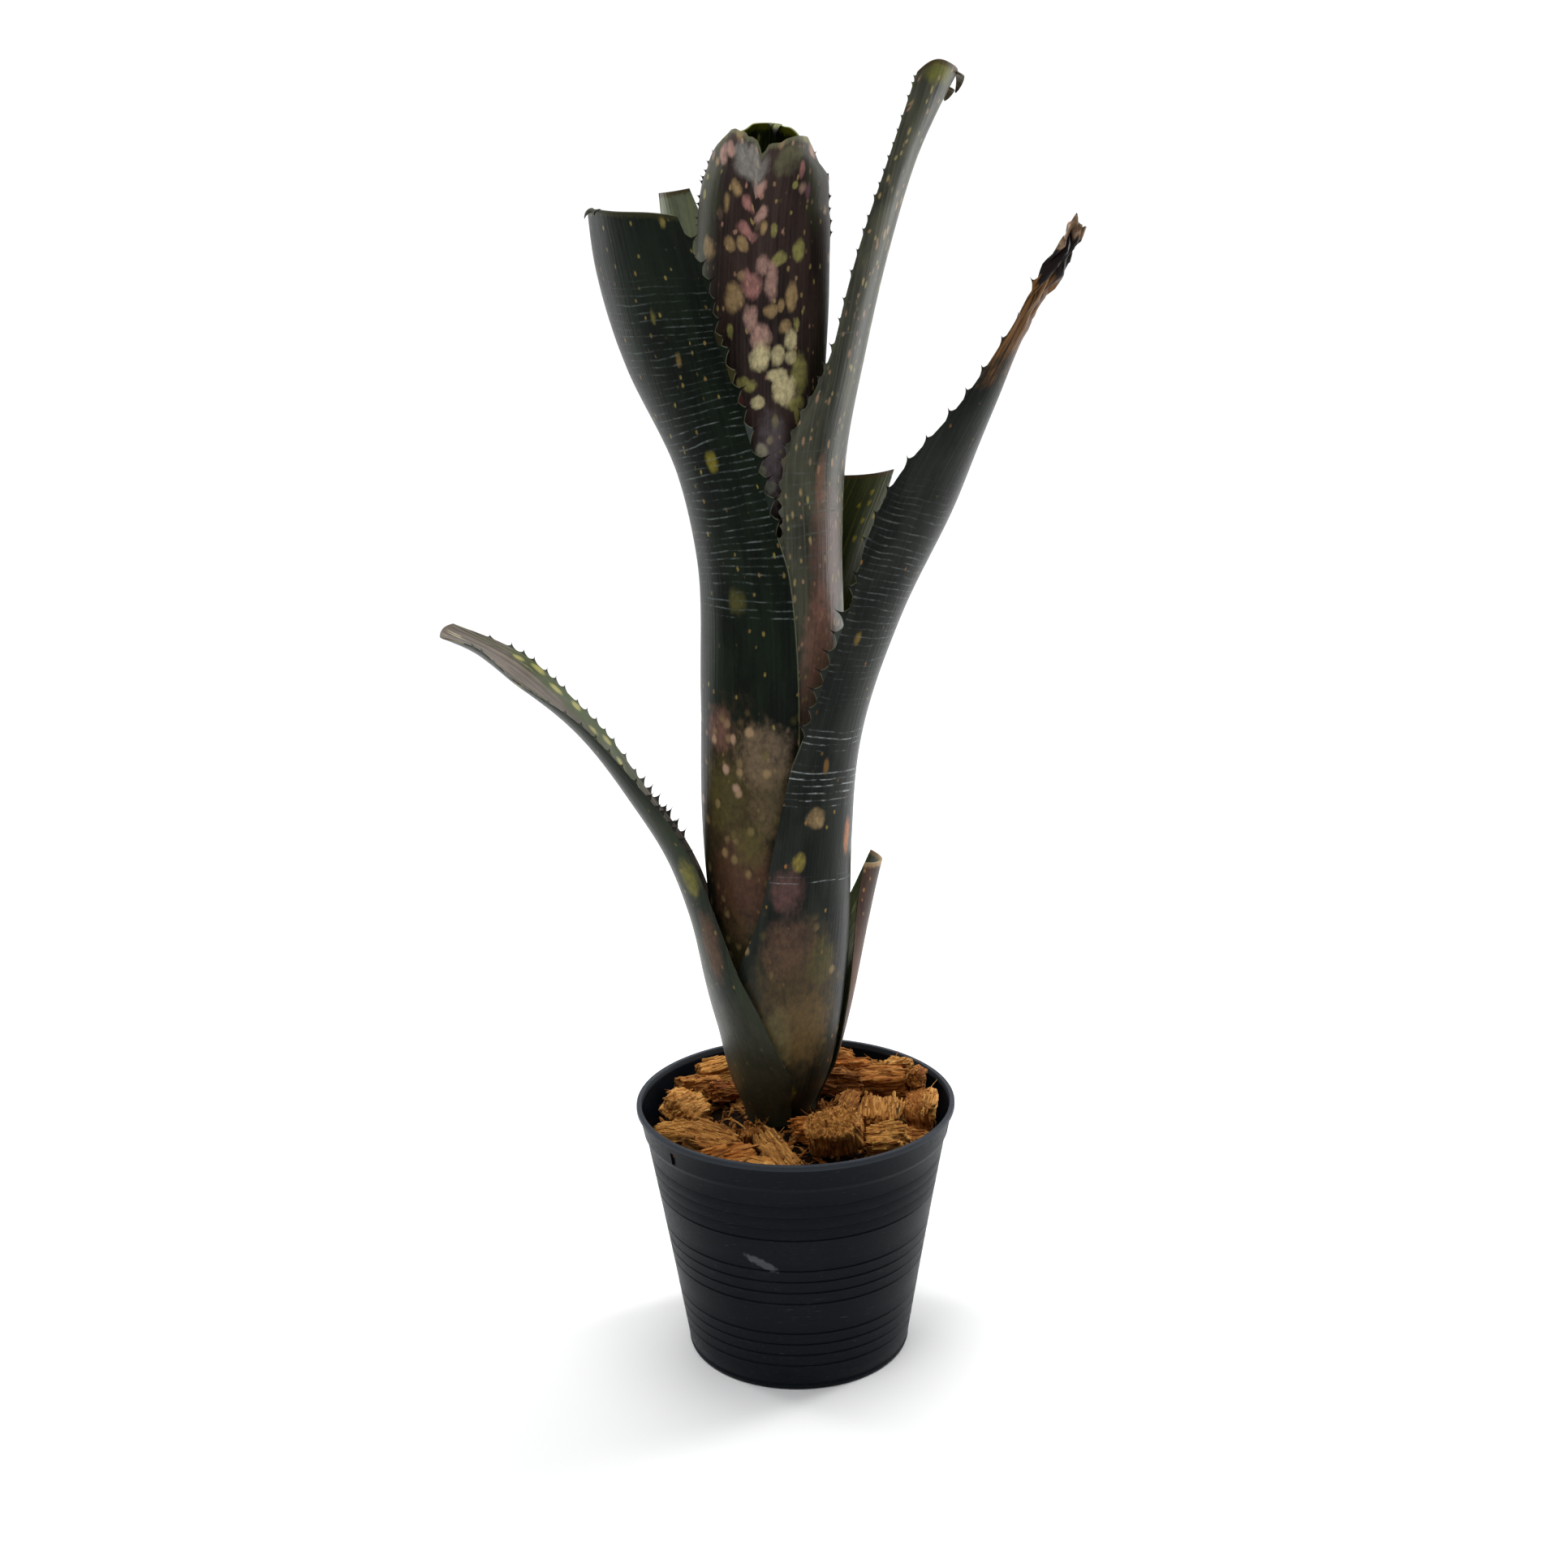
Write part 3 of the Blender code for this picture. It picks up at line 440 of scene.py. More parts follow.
SLOT_ANGLES = (-50.0, 76.0, 193.0)
SLOT_SIZE = (2.2 * MM, 8.0 * MM, 4.2 * MM)
SLOT_Z = 79.6 * MM
SLOT_REACH = 51.0
DRAIN_COUNT = 6
DRAIN_RADIUS = 4.0 * MM
DRAIN_RING = 24.0 * MM
bm = bmesh.new()
for degrees in SLOT_ANGLES:
    a = math.radians(degrees)
    middle = Vector((math.sin(a) * SLOT_REACH * MM, -math.cos(a) * SLOT_REACH * MM, SLOT_Z))
    bmesh.ops.create_cube(bm, size=1.0, matrix=Matrix.Translation(middle) @ Matrix.Rotation(a, 4, 'Z')
                          @ Matrix.Diagonal((*SLOT_SIZE, 1.0)))
for k in range(DRAIN_COUNT):
    a = math.tau * (k + 0.25) / DRAIN_COUNT
    middle = Vector((DRAIN_RING * math.cos(a), DRAIN_RING * math.sin(a), 2.0 * MM))
    bmesh.ops.create_cone(bm, cap_ends=True, segments=32, radius1=DRAIN_RADIUS, radius2=DRAIN_RADIUS,
                          depth=8.0 * MM, matrix=Matrix.Translation(middle))
punch = linked("punch", mesh_from(bm, "punch"))
cutting = blank.modifiers.new("pierce", 'BOOLEAN')
cutting.operation = 'DIFFERENCE'
cutting.solver = 'EXACT'
cutting.object = punch
pierced = worked_out(blank)
bpy.data.objects.remove(punch)
print("pot faces after piercing:", len(pierced.polygons))

# %% [markdown]
# Nursery plastic is a soft blue-black. It is moulded, not polished, so its gloss is broken: a fine
# grain, faint streaks that run round it from handling, a dusting that is heavier low down, and one
# grey scuff on the front. The top of the rolled lip is lightened by a painted highlight. The patterns
# read Object coordinates in millimetres.

# %% Pot plastic
pot_plastic, tree, shader, place = new_finish("pot_plastic", Specular_IOR_Level=0.07)
across, depth, height = parts(tree, place)
grain = cloud(tree, place, (0.9, 0.9, 0.9), 4.0, 0.6)
streaks = cloud(tree, place, (0.05, 0.05, 1.6), 4.0, 0.65)
patches = cloud(tree, place, (0.035, 0.035, 0.05), 3.0, 0.5, (7.0, 3.0, 0.0))
dust = (patches.between(0.45, 0.75) * 0.5 + streaks.between(0.5, 0.8) * 0.35
        + height.between(25.0, 0.0) * 0.3)
dust = dust * grain.between(0.35, 0.7)
# painted highlight: a thin band along the top of the rolled lip is lightened
painted_lip_highlight = height.between(83.8, 84.6)
front = depth.between(-20.0, -30.0)
scuff_shape = (((across + 11.5) / 6.0) ** 2.0 + ((height - 48.8 + (across + 11.5) * 0.45) / 1.9) ** 2.0
               + grain * 1.6 - 0.8)
scuff = scuff_shape.between(1.0, 0.3) * front * (0.45 + 0.55 * streaks)
scratch_noise = cloud(tree, place, (0.25, 0.25, 5.0), 2.0, 0.5, (0.0, 9.0, 0.0))
scratches = scratch_noise.between(0.69, 0.74)
colour = blend(dust * 0.28, srgb(11, 15, 21), srgb(46, 53, 62))
colour = blend(painted_lip_highlight * 0.45, colour, srgb(70, 75, 82))
colour = blend(scratches * 0.25, colour, srgb(96, 100, 104))
colour = blend(scuff * 0.85, colour, srgb(92, 94, 97))
feed(tree, shader, "Base Color", colour)
feed(tree, shader, "Roughness", 0.36 + dust * 0.22 + grain * 0.10 + scuff * 0.25)
raise_surface(tree, shader, grain * 0.5 + streaks * 0.5, 0.00006)

bm = bmesh.new()
bm.from_mesh(pierced)
finish_piece(bm, "nursery_pot", [pot_plastic], ["pot"], crease=32.0, merge=0.000001, turn_faces=False)

# %% [markdown]
# A leaf of this plant is a trough. Low down it wraps most of the way round its neighbours, and
# higher up it opens and arches away. So a leaf is described by stations along its midrib: where the
# midrib is, half the leaf's width round the curl, how far it curls, and where its back faces. In
# the rosette the stations come from a profile of the tank and the leaf's layer; on the free blade
# they are given one by one. They are the solids' own stations, but for the rim of the tube, the free
# end of the leaf behind at the left and the tip of the outer leaf, which are shaped more finely.

# %% Leaf stations
AXIS_LINE = ((80.0, -5.0), (150.0, -7.0), (210.0, -6.0), (300.0, -7.5), (345.0, -6.5), (370.0, -5.0),
             (400.0, -2.0))
CORE_PROFILE = ((80.0, 1.5), (86.0, 3.0), (92.0, 5.0), (98.0, 6.5), (112.0, 10.0), (132.0, 13.0),
                (160.0, 14.0), (210.0, 14.5), (260.0, 15.0), (310.0, 17.0), (345.0, 18.0),
                (380.0, 16.5), (394.0, 14.0))
LAYER_PITCH = 1.8


def read_curve(points, at):
    return float(np.interp(at, [p[0] for p in points], [p[1] for p in points]))


def outward(azimuth, elevation=0.0):
    a = math.radians(azimuth)
    e = math.radians(elevation)
    return np.array((math.sin(a) * math.cos(e), -math.cos(a) * math.cos(e), math.sin(e)))


def sheath(z, layer, azimuth, half_angle):
    radius = read_curve(CORE_PROFILE, z) + layer * LAYER_PITCH
    middle = np.array((read_curve(AXIS_LINE, z), 0.0, z)) + radius * outward(azimuth)
    return (*middle, radius * math.radians(half_angle), half_angle, azimuth, 0.0)


def sheath_run(low, high, layer, azimuth, half_angle):
    heights = [z for z, _ in CORE_PROFILE if low + 5.0 < z < high - 5.0]
    return tuple(sheath(z, layer, azimuth, half_angle) for z in [low] + heights + [high])


def blade(x, y, z, half_width, half_angle, azimuth, elevation):
    return (x, y, z, half_width, half_angle, azimuth, elevation)


# where the rim of the tube is nicked: place across the leaf from -1 to 1, half width, depth in mm
TUBE_NOTCH = ((0.03, 0.055, 3.0), (0.22, 0.05, 0.8), (-0.16, 0.08, 0.8), (0.38, 0.10, 0.6),
              (0.0, 0.80, 8.0), (0.0, 0.40, 2.0))

LEAVES = {
    "leaf_centre_back": dict(thick=1.0, grid=(20, 12), tip=(4, 4, 0), torn=1.6, stations=(
        sheath_run(92, 366, 0, 175, 90)
        + (sheath(372, 0, 175, 88), blade(-2.9, 14.6, 380, 22.0, 86, 175, 0),
           blade(-2.5, 12.4, 387, 18.0, 82, 174, 0), blade(-2.2, 9.8, 392.5, 13.5, 78, 173, 0)))),
    "leaf_centre_front": dict(thick=1.2, grid=(20, 12), tip=(0, 0, 0), cuts=TUBE_NOTCH, stations=(
        sheath_run(91, 358, 1, -5, 95)
        + (sheath(371, 1, -4, 92), blade(-4.9, -17.8, 378, 28, 90, -3, 0),
           blade(-4.2, -16.2, 385, 25.5, 89, -2, 0), blade(-3.4, -13.8, 390, 21.5, 88, -2, 0),
           blade(-3.0, -11.6, 393, 17.5, 86, -2, 0)))),
    "leaf_back_left": dict(thick=1.0, grid=(18, 6), tip=(0, 0, 0), stations=(
        sheath_run(87, 300, 2, -135, 36)
        + (blade(-24, 15, 335, 13, 45, -130, -8), blade(-29, 17, 354, 10, 40, -140, -10),
           blade(-33, 18, 374, 5.5, 30, -150, -10)))),
    "leaf_right_tall": dict(thick=1.4, grid=(26, 8), tip=(6, 1, 0), stations=(
        sheath_run(85, 210, 2.2, 80, 80)
        + (blade(16, -4, 240, 28, 80, 80, 0), blade(16, -3, 270, 28, 70, 80, 0),
           blade(17, -3, 295, 26, 64, 75, -5), blade(23, -5, 325, 17.5, 50, 78, -10),
           blade(30, -7, 355, 13.5, 45, 75, -15), blade(38, -8, 382, 9.5, 40, 65, -20),
           blade(48, -9, 407, 8.5, 35, 40, -25)))),
    "leaf_back_right": dict(thick=1.0, grid=(16, 6), tip=(0, 0, 10), stations=(
        sheath_run(84, 210, 3, 150, 42)
        + (blade(9, 20, 245, 15, 40, 150, -5), blade(16, 22, 268, 15, 35, 150, -12),
           blade(26, 25, 292, 11, 25, 155, -18)))),
    "leaf_left_broad": dict(thick=1.4, grid=(24, 9), tip=(3, 3, 0), stations=(
        sheath_run(83, 150, 3, -60, 80)
        + (blade(-24, -11, 180, 28.5, 80, -55, 0), blade(-23, -11, 222, 29, 75, -55, 0),
           blade(-23, -11, 265, 27, 68, -60, 0), blade(-29, -12, 292, 27, 62, -60, 0),
           blade(-38, -14, 322, 26, 45, -45, -20), blade(-43, -18, 345, 24, 42, -40, -25),
           blade(-47, -25, 367, 19.5, 40, -43, -27)))),
    "leaf_front_right": dict(thick=1.4, grid=(26, 8), tip=(0, 0, 0), torn=5.0, dried=(18, 2.6), stations=(
        (sheath(82, 4, 44, 75), sheath(94, 5.5, 45, 72), sheath(112, 5.8, 46, 72), sheath(132, 5.8, 48, 77))
        + (blade(13, -16, 153, 26, 72, 50, 0), blade(15, -15, 178, 23, 66, 55, 0),
           blade(18, -14, 205, 20, 60, 58, -3), blade(30, -20, 248, 17, 50, 53, -11),
           blade(45, -25, 285, 16, 50, 40, -18), blade(58, -31, 312, 9, 45, 50, -27),
           blade(67, -36, 333, 5, 35, 58, -27), blade(82, -42, 361, 4, 18, 38, -25)))),
    "leaf_stub_right": dict(thick=1.4, grid=(12, 6), tip=(0, 0, 0), stations=(
        (sheath(80, 5, 138, 42), sheath(95, 5.5, 135, 45))
        + (blade(13, 10, 112, 15, 50, 120, -7), blade(19, 9, 128, 14, 55, 110, -10),
           blade(29, 8, 165, 9.5, 60, 80, -14)))),
    "leaf_outer_left": dict(thick=1.4, grid=(24, 8), tip=(3, 3, 0), stations=(
        sheath_run(80, 92, 5, -62, 78)
        + (blade(-22, -8, 114, 21, 70, -78, -5), blade(-27.5, -7, 133, 21, 65, -88, -10),
           blade(-32.5, -6, 153, 18, 58, -88, -25), blade(-39, -6, 171, 15, 56, -82, -42),
           blade(-50, -6, 190, 13, 50, -70, -66), blade(-64, -5, 210, 12, 43, -57, -84),
           blade(-80, -5, 226, 11.5, 35, -42, -95), blade(-96, -4, 238, 11, 32, -33, -92),
           blade(-107, -6, 244, 7.5, 30, -35, -104)))),
}
print("leaves:", ", ".join(LEAVES))

# %% [markdown]
# The sheet of a leaf is a grid of points that follows its stations along a smooth curve. A leaf
# that wraps others is then eased outwards wherever it would run through them. A ray cast inwards
# from outside finds the outermost face of what is already there.


# %% Leaf sheets
def smooth_rows(rows, marks, t):
    count = len(marks)
    slope = np.zeros_like(rows)
    slope[0] = (rows[1] - rows[0]) / (marks[1] - marks[0])
    slope[-1] = (rows[-1] - rows[-2]) / (marks[-1] - marks[-2])
    for i in range(1, count - 1):
        before = marks[i] - marks[i - 1]
        after = marks[i + 1] - marks[i]
        rise = (rows[i] - rows[i - 1]) / before
        run = (rows[i + 1] - rows[i]) / after
        slope[i] = (rise * after + run * before) / (before + after)
    k = min(max(int(np.searchsorted(marks, t)) - 1, 0), count - 2)
    h = marks[k + 1] - marks[k]
    u = (t - marks[k]) / h
    return ((2 * u**3 - 3 * u**2 + 1) * rows[k] + (u**3 - 2 * u**2 + u) * h * slope[k]
            + (3 * u**2 - 2 * u**3) * rows[k + 1] + (u**3 - u**2) * h * slope[k + 1])


def leaf_sheet(spec, along, across):
    table = np.array(spec["stations"], float)
    steps = np.linalg.norm(np.diff(table[:, :3], axis=0), axis=1)
    marks = np.concatenate(([0.0], np.cumsum(steps)))
    length = marks[-1]
    marks /= length
    inward = np.array([-outward(a, e) for a, e in table[:, 5:7]])
    rows = np.concatenate((table[:, :3], table[:, 3:5], inward), axis=1)
    fine = np.linspace(0.0, 1.0, 8 * spec["grid"][0] + 1)
    values = np.array([smooth_rows(rows, marks, t) for t in fine])
    midrib = values[:, :3]
    tangent = np.gradient(midrib, axis=0)
    tangent /= np.linalg.norm(tangent, axis=1)[:, None]
    face = values[:, 5:8] - (values[:, 5:8] * tangent).sum(1)[:, None] * tangent
    face /= np.linalg.norm(face, axis=1)[:, None]
    side = np.cross(tangent, face)
    curl = np.radians(np.maximum(values[:, 4], 2.0))
    radius = np.maximum(values[:, 3], 0.3) / curl
    sheet = np.zeros((along + 1, across + 1, 3))
    even = np.linspace(0.0, 1.0, along + 1)
    for j, spread in enumerate(np.linspace(-1.0, 1.0, across + 1)):
        turning = spread * curl
        column = (midrib + (radius * (1 - np.cos(turning)))[:, None] * face
                  + (radius * np.sin(turning))[:, None] * side)
        near, far, slant = spec["tip"]
        short = (near if spread > 0 else far) * abs(spread)**3 + slant * (1.0 - spread) / 2
        for centre, half, deep in spec.get("cuts", ()):
            short += deep * max(0.0, 1.0 - abs(spread - centre) / half)
        torn = spec.get("torn", 0.0)
        short += torn * (noise.noise(Vector((spread * 3.5, along * 0.37, 0.5))) + 0.5 * abs(spread))
        reach = even * (1.0 - short / length * even**4)
        for axis in range(3):
            sheet[:, j, axis] = np.interp(reach, fine, column[:, axis])
    return sheet


def sheet_normals(sheet):
    normal = np.cross(np.gradient(sheet, axis=0), np.gradient(sheet, axis=1))
    return normal / np.linalg.norm(normal, axis=2)[:, :, None]


def neighbours_mean(field):
    padded = np.pad(field, 1, mode='edge')
    return 0.25 * (padded[:-2, 1:-1] + padded[2:, 1:-1] + padded[1:-1, :-2] + padded[1:-1, 2:])


def away_from_axis(points):
    centre = np.array([[read_curve(AXIS_LINE, p[2]), 0.0] for p in points])
    away = points[:, :2] - centre
    reach = np.linalg.norm(away, axis=1)
    return centre, away / (reach[:, None] + 0.000001), reach


LEAF_GAP = 0.62
RAY_START = 9.0
RAY_LENGTH = RAY_START - 0.5


def widest_near(field, reach):
    for _ in range(reach):
        padded = np.pad(field, 1, mode='edge')
        field = np.maximum.reduce([field, padded[:-2, 1:-1], padded[2:, 1:-1], padded[1:-1, :-2],
                                   padded[1:-1, 2:]])
    return field


def enlarge(field, along, across):
    rows = np.linspace(0, field.shape[0] - 1, along + 1)
    columns = np.linspace(0, field.shape[1] - 1, across + 1)
    tall = np.array([np.interp(rows, np.arange(field.shape[0]), column) for column in field.T]).T
    return np.array([np.interp(columns, np.arange(field.shape[1]), row) for row in tall])


def ease_over(spec, inner_tree, along, across):
    # the need is felt as coarsely as on the solid, and then spread smoothly over the fine sheet
    coarse = leaf_sheet(spec, 3 * spec["grid"][0], 3 * spec["grid"][1])
    flat = coarse.reshape(-1, 3)
    centre, away, reach = away_from_axis(flat)
    need = np.zeros(len(flat))
    for k, p in enumerate(flat):
        direction = Vector((away[k, 0], away[k, 1], 0.0))
        start = Vector((centre[k, 0], 0.0, p[2])) + direction * (reach[k] + RAY_START)
        hit = inner_tree.ray_cast(start * MM, -direction, (reach[k] + RAY_LENGTH) * MM)
        if hit[0] is not None:
            found = math.hypot(hit[0].x / MM - centre[k, 0], hit[0].y / MM)
            need[k] = max(0.0, found + LEAF_GAP + 0.5 * spec["thick"] - reach[k])
    need = widest_near(need.reshape(coarse.shape[:2]), 3)[::3, ::3]
    eased = need.copy()
    for _ in range(3):
        eased = np.maximum(need, 0.5 * eased + 0.5 * neighbours_mean(eased))
    eased = enlarge(eased, along, across)
    for _ in range(10):
        eased = neighbours_mean(eased)
    sheet = leaf_sheet(spec, along, across)
    _, away, _ = away_from_axis(sheet.reshape(-1, 3))
    push = np.concatenate((away, np.zeros((len(away), 1))), axis=1).reshape(sheet.shape)
    return sheet + eased[:, :, None] * push


def crumple(sheet, rows, height):
    # a dried end: its last rows are thrown in and out along the leaf's own normal
    normal = sheet_normals(sheet)
    last = sheet.shape[0] - 1
    for i in range(last - rows, last + 1):
        share = (i - (last - rows)) / rows
        for j in range(sheet.shape[1]):
            wave = noise.noise(Vector((i * 0.33, j * 0.16, 3.0)))
            sheet[i, j] += normal[i, j] * height * share * wave * 2.0
    return sheet


print("sheet helpers ready")

# %% [markdown]
# A small shape that is met again and again, a spine or a loose fibre, is made once and copied. The
# copy goes through `from_mesh`, and a transform then lays it in its place. A spine is a cone with a
# few rings: its sides are drawn in to a hollow curve, it is flattened, and it leans to the leaf's
# tip. Its foot is as wide as the spacing, so that two neighbours leave a round bay between them. A
# fibre is the same cone, drawn out long and thin.


# %% Small prototypes
def taper(height, hollow, core):
    return max((1.0 - 0.96 * height) ** hollow, core * (1.0 - 0.96 * height))


def pointed_prototype(name, sides, rings, hollow, core, flat, lean):
    bm = bmesh.new()
    bmesh.ops.create_cone(bm, cap_ends=True, segments=sides, radius1=1.0, radius2=0.04, depth=1.0,
                          matrix=Matrix.Translation((0, 0, 0.5)))
    upright = [e for e in bm.edges if abs(e.verts[0].co.z - e.verts[1].co.z) > 0.5]
    bmesh.ops.subdivide_edges(bm, edges=upright, cuts=rings, use_grid_fill=True)
    for v in bm.verts:
        height = min(v.co.z, 1.0)
        draw = taper(height, hollow, core) / (1.0 - 0.96 * height)
        v.co.x = v.co.x * draw + lean * height ** 1.4
        v.co.y *= flat if core else draw * flat
    return mesh_from(bm, name)


def add_copy(bm, prototype, matrix):
    before = len(bm.verts)
    bm.from_mesh(prototype)
    added = list(bm.verts)[before:]
    bmesh.ops.transform(bm, matrix=matrix, verts=added)
    return added


def lay_curved(bm, prototype, start, direction, side, length, half_width, half_thick, turn):
    # the prototype stands along its own Z; here that line becomes an arc that turns towards side
    added = add_copy(bm, prototype, Matrix.Identity(4))
    across = side.cross(direction).normalized()
    for v in added:
        x, y, run = v.co
        angle = turn * run
        bend = max(abs(turn), 0.001)
        ahead = math.sin(bend * run) / bend
        aside = math.copysign((1.0 - math.cos(bend * run)) / bend, turn)
        off = side * math.cos(angle) - direction * math.sin(angle)
        arc = (direction * ahead + side * aside) * length
        v.co = start + arc + across * x * half_width + off * y * half_thick
    return added


SPINE_HOLLOW = 2.9
SPINE_CORE = 0.17
SPINE_LEAN = 0.35
spine_shape = pointed_prototype("spine_shape", 8, 6, SPINE_HOLLOW, SPINE_CORE, 0.45, SPINE_LEAN)
fibre_shape = pointed_prototype("fibre_shape", 5, 5, 0.35, 0.0, 1.0, 0.0)
tongue_shape = pointed_prototype("tongue_shape", 10, 8, 0.75, 0.0, 1.0, 0.0)
print("spine faces:", len(spine_shape.polygons), "fibre faces:", len(fibre_shape.polygons))

# %% [markdown]
# The leaf's body starts as a flat grid, is doubled by an extrusion into a slab, and is then laid
# onto the two faces of the sheet. It is thin at the margins and full at the midrib. Two attributes
# go with every point: where it lies on the leaf in millimetres and on which face, and how far it
# is from the margin. The finish reads them, so that spots and veins follow the leaf.


# %% Leaf skins with spines
MARGIN_THICK = 0.36
SPINE_ROOT = 0.3
SPINE_HALF_THICK = 0.42


def leaf_skin(spec, sheet):
    along, across = sheet.shape[0] - 1, sheet.shape[1] - 1
    normal = sheet_normals(sheet)
    widths = np.linalg.norm(np.diff(sheet, axis=1), axis=2).sum(axis=1)
    rise = np.linalg.norm(np.diff(sheet[:, across // 2], axis=0), axis=1)
    lengths = np.concatenate(([0.0], np.cumsum(rise)))
    bm = bmesh.new()
    place = bm.verts.layers.float_vector.new("leaf_place")
    trim = bm.verts.layers.float_vector.new("leaf_trim")
    bmesh.ops.create_grid(bm, x_segments=along, y_segments=across, size=0.5)
    doubled = bmesh.ops.extrude_face_region(bm, geom=list(bm.faces), use_keep_orig=True)
    raised = set(v for v in doubled["geom"] if isinstance(v, bmesh.types.BMVert))
    for v in bm.verts:
        i = int(round((v.co.x + 0.5) * along))
        j = int(round((v.co.y + 0.5) * across))
        spread = 2.0 * j / across - 1.0
        tip = min(1.0, (along - i) / 8.0)
        middle = 1.0 + (spec["thick"] - 1.0) * min(1.0, i / (0.4 * along))
        full = (1.0 - abs(spread) ** 3) * (0.35 + 0.65 * tip)
        depth = MARGIN_THICK + (middle - MARGIN_THICK) * full
        side = 0.5 if v in raised else -0.5
        v[place] = (0.5 * spread * widths[i], lengths[i], 0.0 if v in raised else 1.0)
        v[trim] = (0.5 * widths[i] * (1.0 - abs(spread)), 0.0, lengths[-1] - lengths[i])
        v.co = Vector(sheet[i, j] + normal[i, j] * depth * side) * MM
    return bm, place, trim, normal, lengths


def edge_frame(sheet, lengths, edge, at, flare=0.0):
    # the point, the way to the tip, the way off the leaf and the outer face, at a place on a margin;
    # where a margin hugs the leaf inside it, the way off the leaf runs over that leaf and not into it
    column = -1 if edge > 0 else 0
    inner = -3 if edge > 0 else 2
    i = int(np.clip(np.searchsorted(lengths, at), 1, len(lengths) - 2))
    point = Vector(sheet[i, column])
    tipward = Vector(sheet[i + 1, column] - sheet[i - 1, column]).normalized()
    off = Vector(sheet[i, column] - sheet[i, inner]).normalized()
    _, away, reach = away_from_axis(sheet[i, column][None, :])
    away = Vector((away[0, 0], away[0, 1], 0.0))
    hug = max(0.0, min(1.0, (34.0 - reach[0]) / 10.0))
    off -= away * min(0.0, off.dot(away)) * 0.9 * hug
    off = off * (1.0 - flare) + away * flare
    off = (off - tipward * off.dot(tipward)).normalized()
    return point + away * 0.35 * hug, tipward, off, off.cross(tipward).normalized()


def draw_in(sheet, runs):
    # where a margin is cut into deep bays, its line is first drawn in, so that the points end near it
    rise = np.linalg.norm(np.diff(sheet[:, sheet.shape[1] // 2], axis=0), axis=1)
    lengths = np.concatenate(([0.0], np.cumsum(rise)))
    columns = sheet.shape[1] - 1
    for edge, start, stop, _, _, inset, _ in runs:
        for i, at in enumerate(lengths):
            fade = max(0.0, min(1.0, (at - start + 12.0) / 12.0, (stop + 12.0 - at) / 12.0))
            rim, inner = (columns, columns - 3) if edge > 0 else (0, 3)
            off = sheet[i, rim] - sheet[i, inner]
            off /= np.linalg.norm(off)
            for j in range(columns + 1):
                spread = max(0.0, edge * (2.0 * j / columns - 1.0))
                sheet[i, j] -= off * inset * fade * spread ** 6
    return sheet


def grow_spines(bm, place, trim, sheet, lengths, runs, dice):
    total = 0
    for edge, start, stop, spacing, size, _, flare in runs:
        for v in bm.verts:
            if v[place].x * edge > 0.0 and start - 2.0 < v[place].y < stop + 1.0:
                v[trim].x += 1.5
        at = start
        while at < stop:
            point, tipward, off, face = edge_frame(sheet, lengths, edge, at, flare)
            length = size * dice.uniform(0.85, 1.15)
            half_base = min(0.56 * spacing, 1.6 * size)
            # spines that are closely set, or that stand off the face, are horn from the foot;
            # between wide bays only the point is
            green = 0.2 if flare or spacing < 1.2 * size else 1.0
            basis = Matrix((tipward, face, off)).transposed().to_4x4()
            scale = Matrix.Diagonal((half_base, SPINE_HALF_THICK, length, 1.0))
            foot = Matrix.Translation((point - off * SPINE_ROOT) * MM)
            lay = foot @ Matrix.Scale(MM, 4) @ basis @ scale
            for v in add_copy(bm, spine_shape, lay):
                away = v.co / MM - point
                reach = min(1.0, max(0.0, away.dot(off) + SPINE_ROOT) / length)
                beside = abs(away.dot(tipward) / half_base - SPINE_LEAN * reach ** 1.4)
                inside = max(0.0, taper(reach, SPINE_HOLLOW, SPINE_CORE) - beside) * half_base
                v[place] = (edge * 0.5, at, 0.0)
                v[trim] = (0.12 + inside, max(0.0, 2.4 * reach - green), 99.0)
            at += spacing * dice.uniform(0.8, 1.2)
            total += 1
    return total


# a dried tip or mucro: where it starts along the tip edge (-1 to 1) and how far back, which way it
# goes and curls (parts of tipward, sideways and outward), then length, half width, turn, and how
# much of it is still live tissue
TONGUES = {
    "leaf_centre_back": ((0.10, 0.3, (0.25, 0.0, -1.0), (-1.0, 0.1, 0.0), 4.6, 1.7, 1.5, 0.4),
                         (-0.06, 0.2, (0.6, 0.1, -0.8), (-0.8, 0.0, -0.5), 3.0, 0.9, 1.4, 0.4)),
    "leaf_left_broad": ((0.58, 0.2, (0.35, 0.1, 1.0), (-1.0, 0.0, 0.1), 4.2, 2.0, 1.7, 0.4),
                        (0.42, 0.1, (0.4, -0.3, 1.0), (-1.0, -0.4, 0.2), 2.6, 1.2, 1.5, 0.4)),
    "leaf_right_tall": ((-0.70, 1.0, (0.5, -0.9, 0.1), (-1.0, -0.25, 0.0), 10.0, 2.6, 1.9, 0.72),
                        (-0.90, 5.0, (-0.1, -1.0, 0.2), (-1.0, 0.3, 0.0), 4.5, 2.2, 1.6, 0.9)),
    "leaf_front_right": ((0.2, 2.0, (1.0, 0.12, 0.1), (0.1, 1.0, 0.3), 4.5, 1.6, 0.6, 0.9),),
}


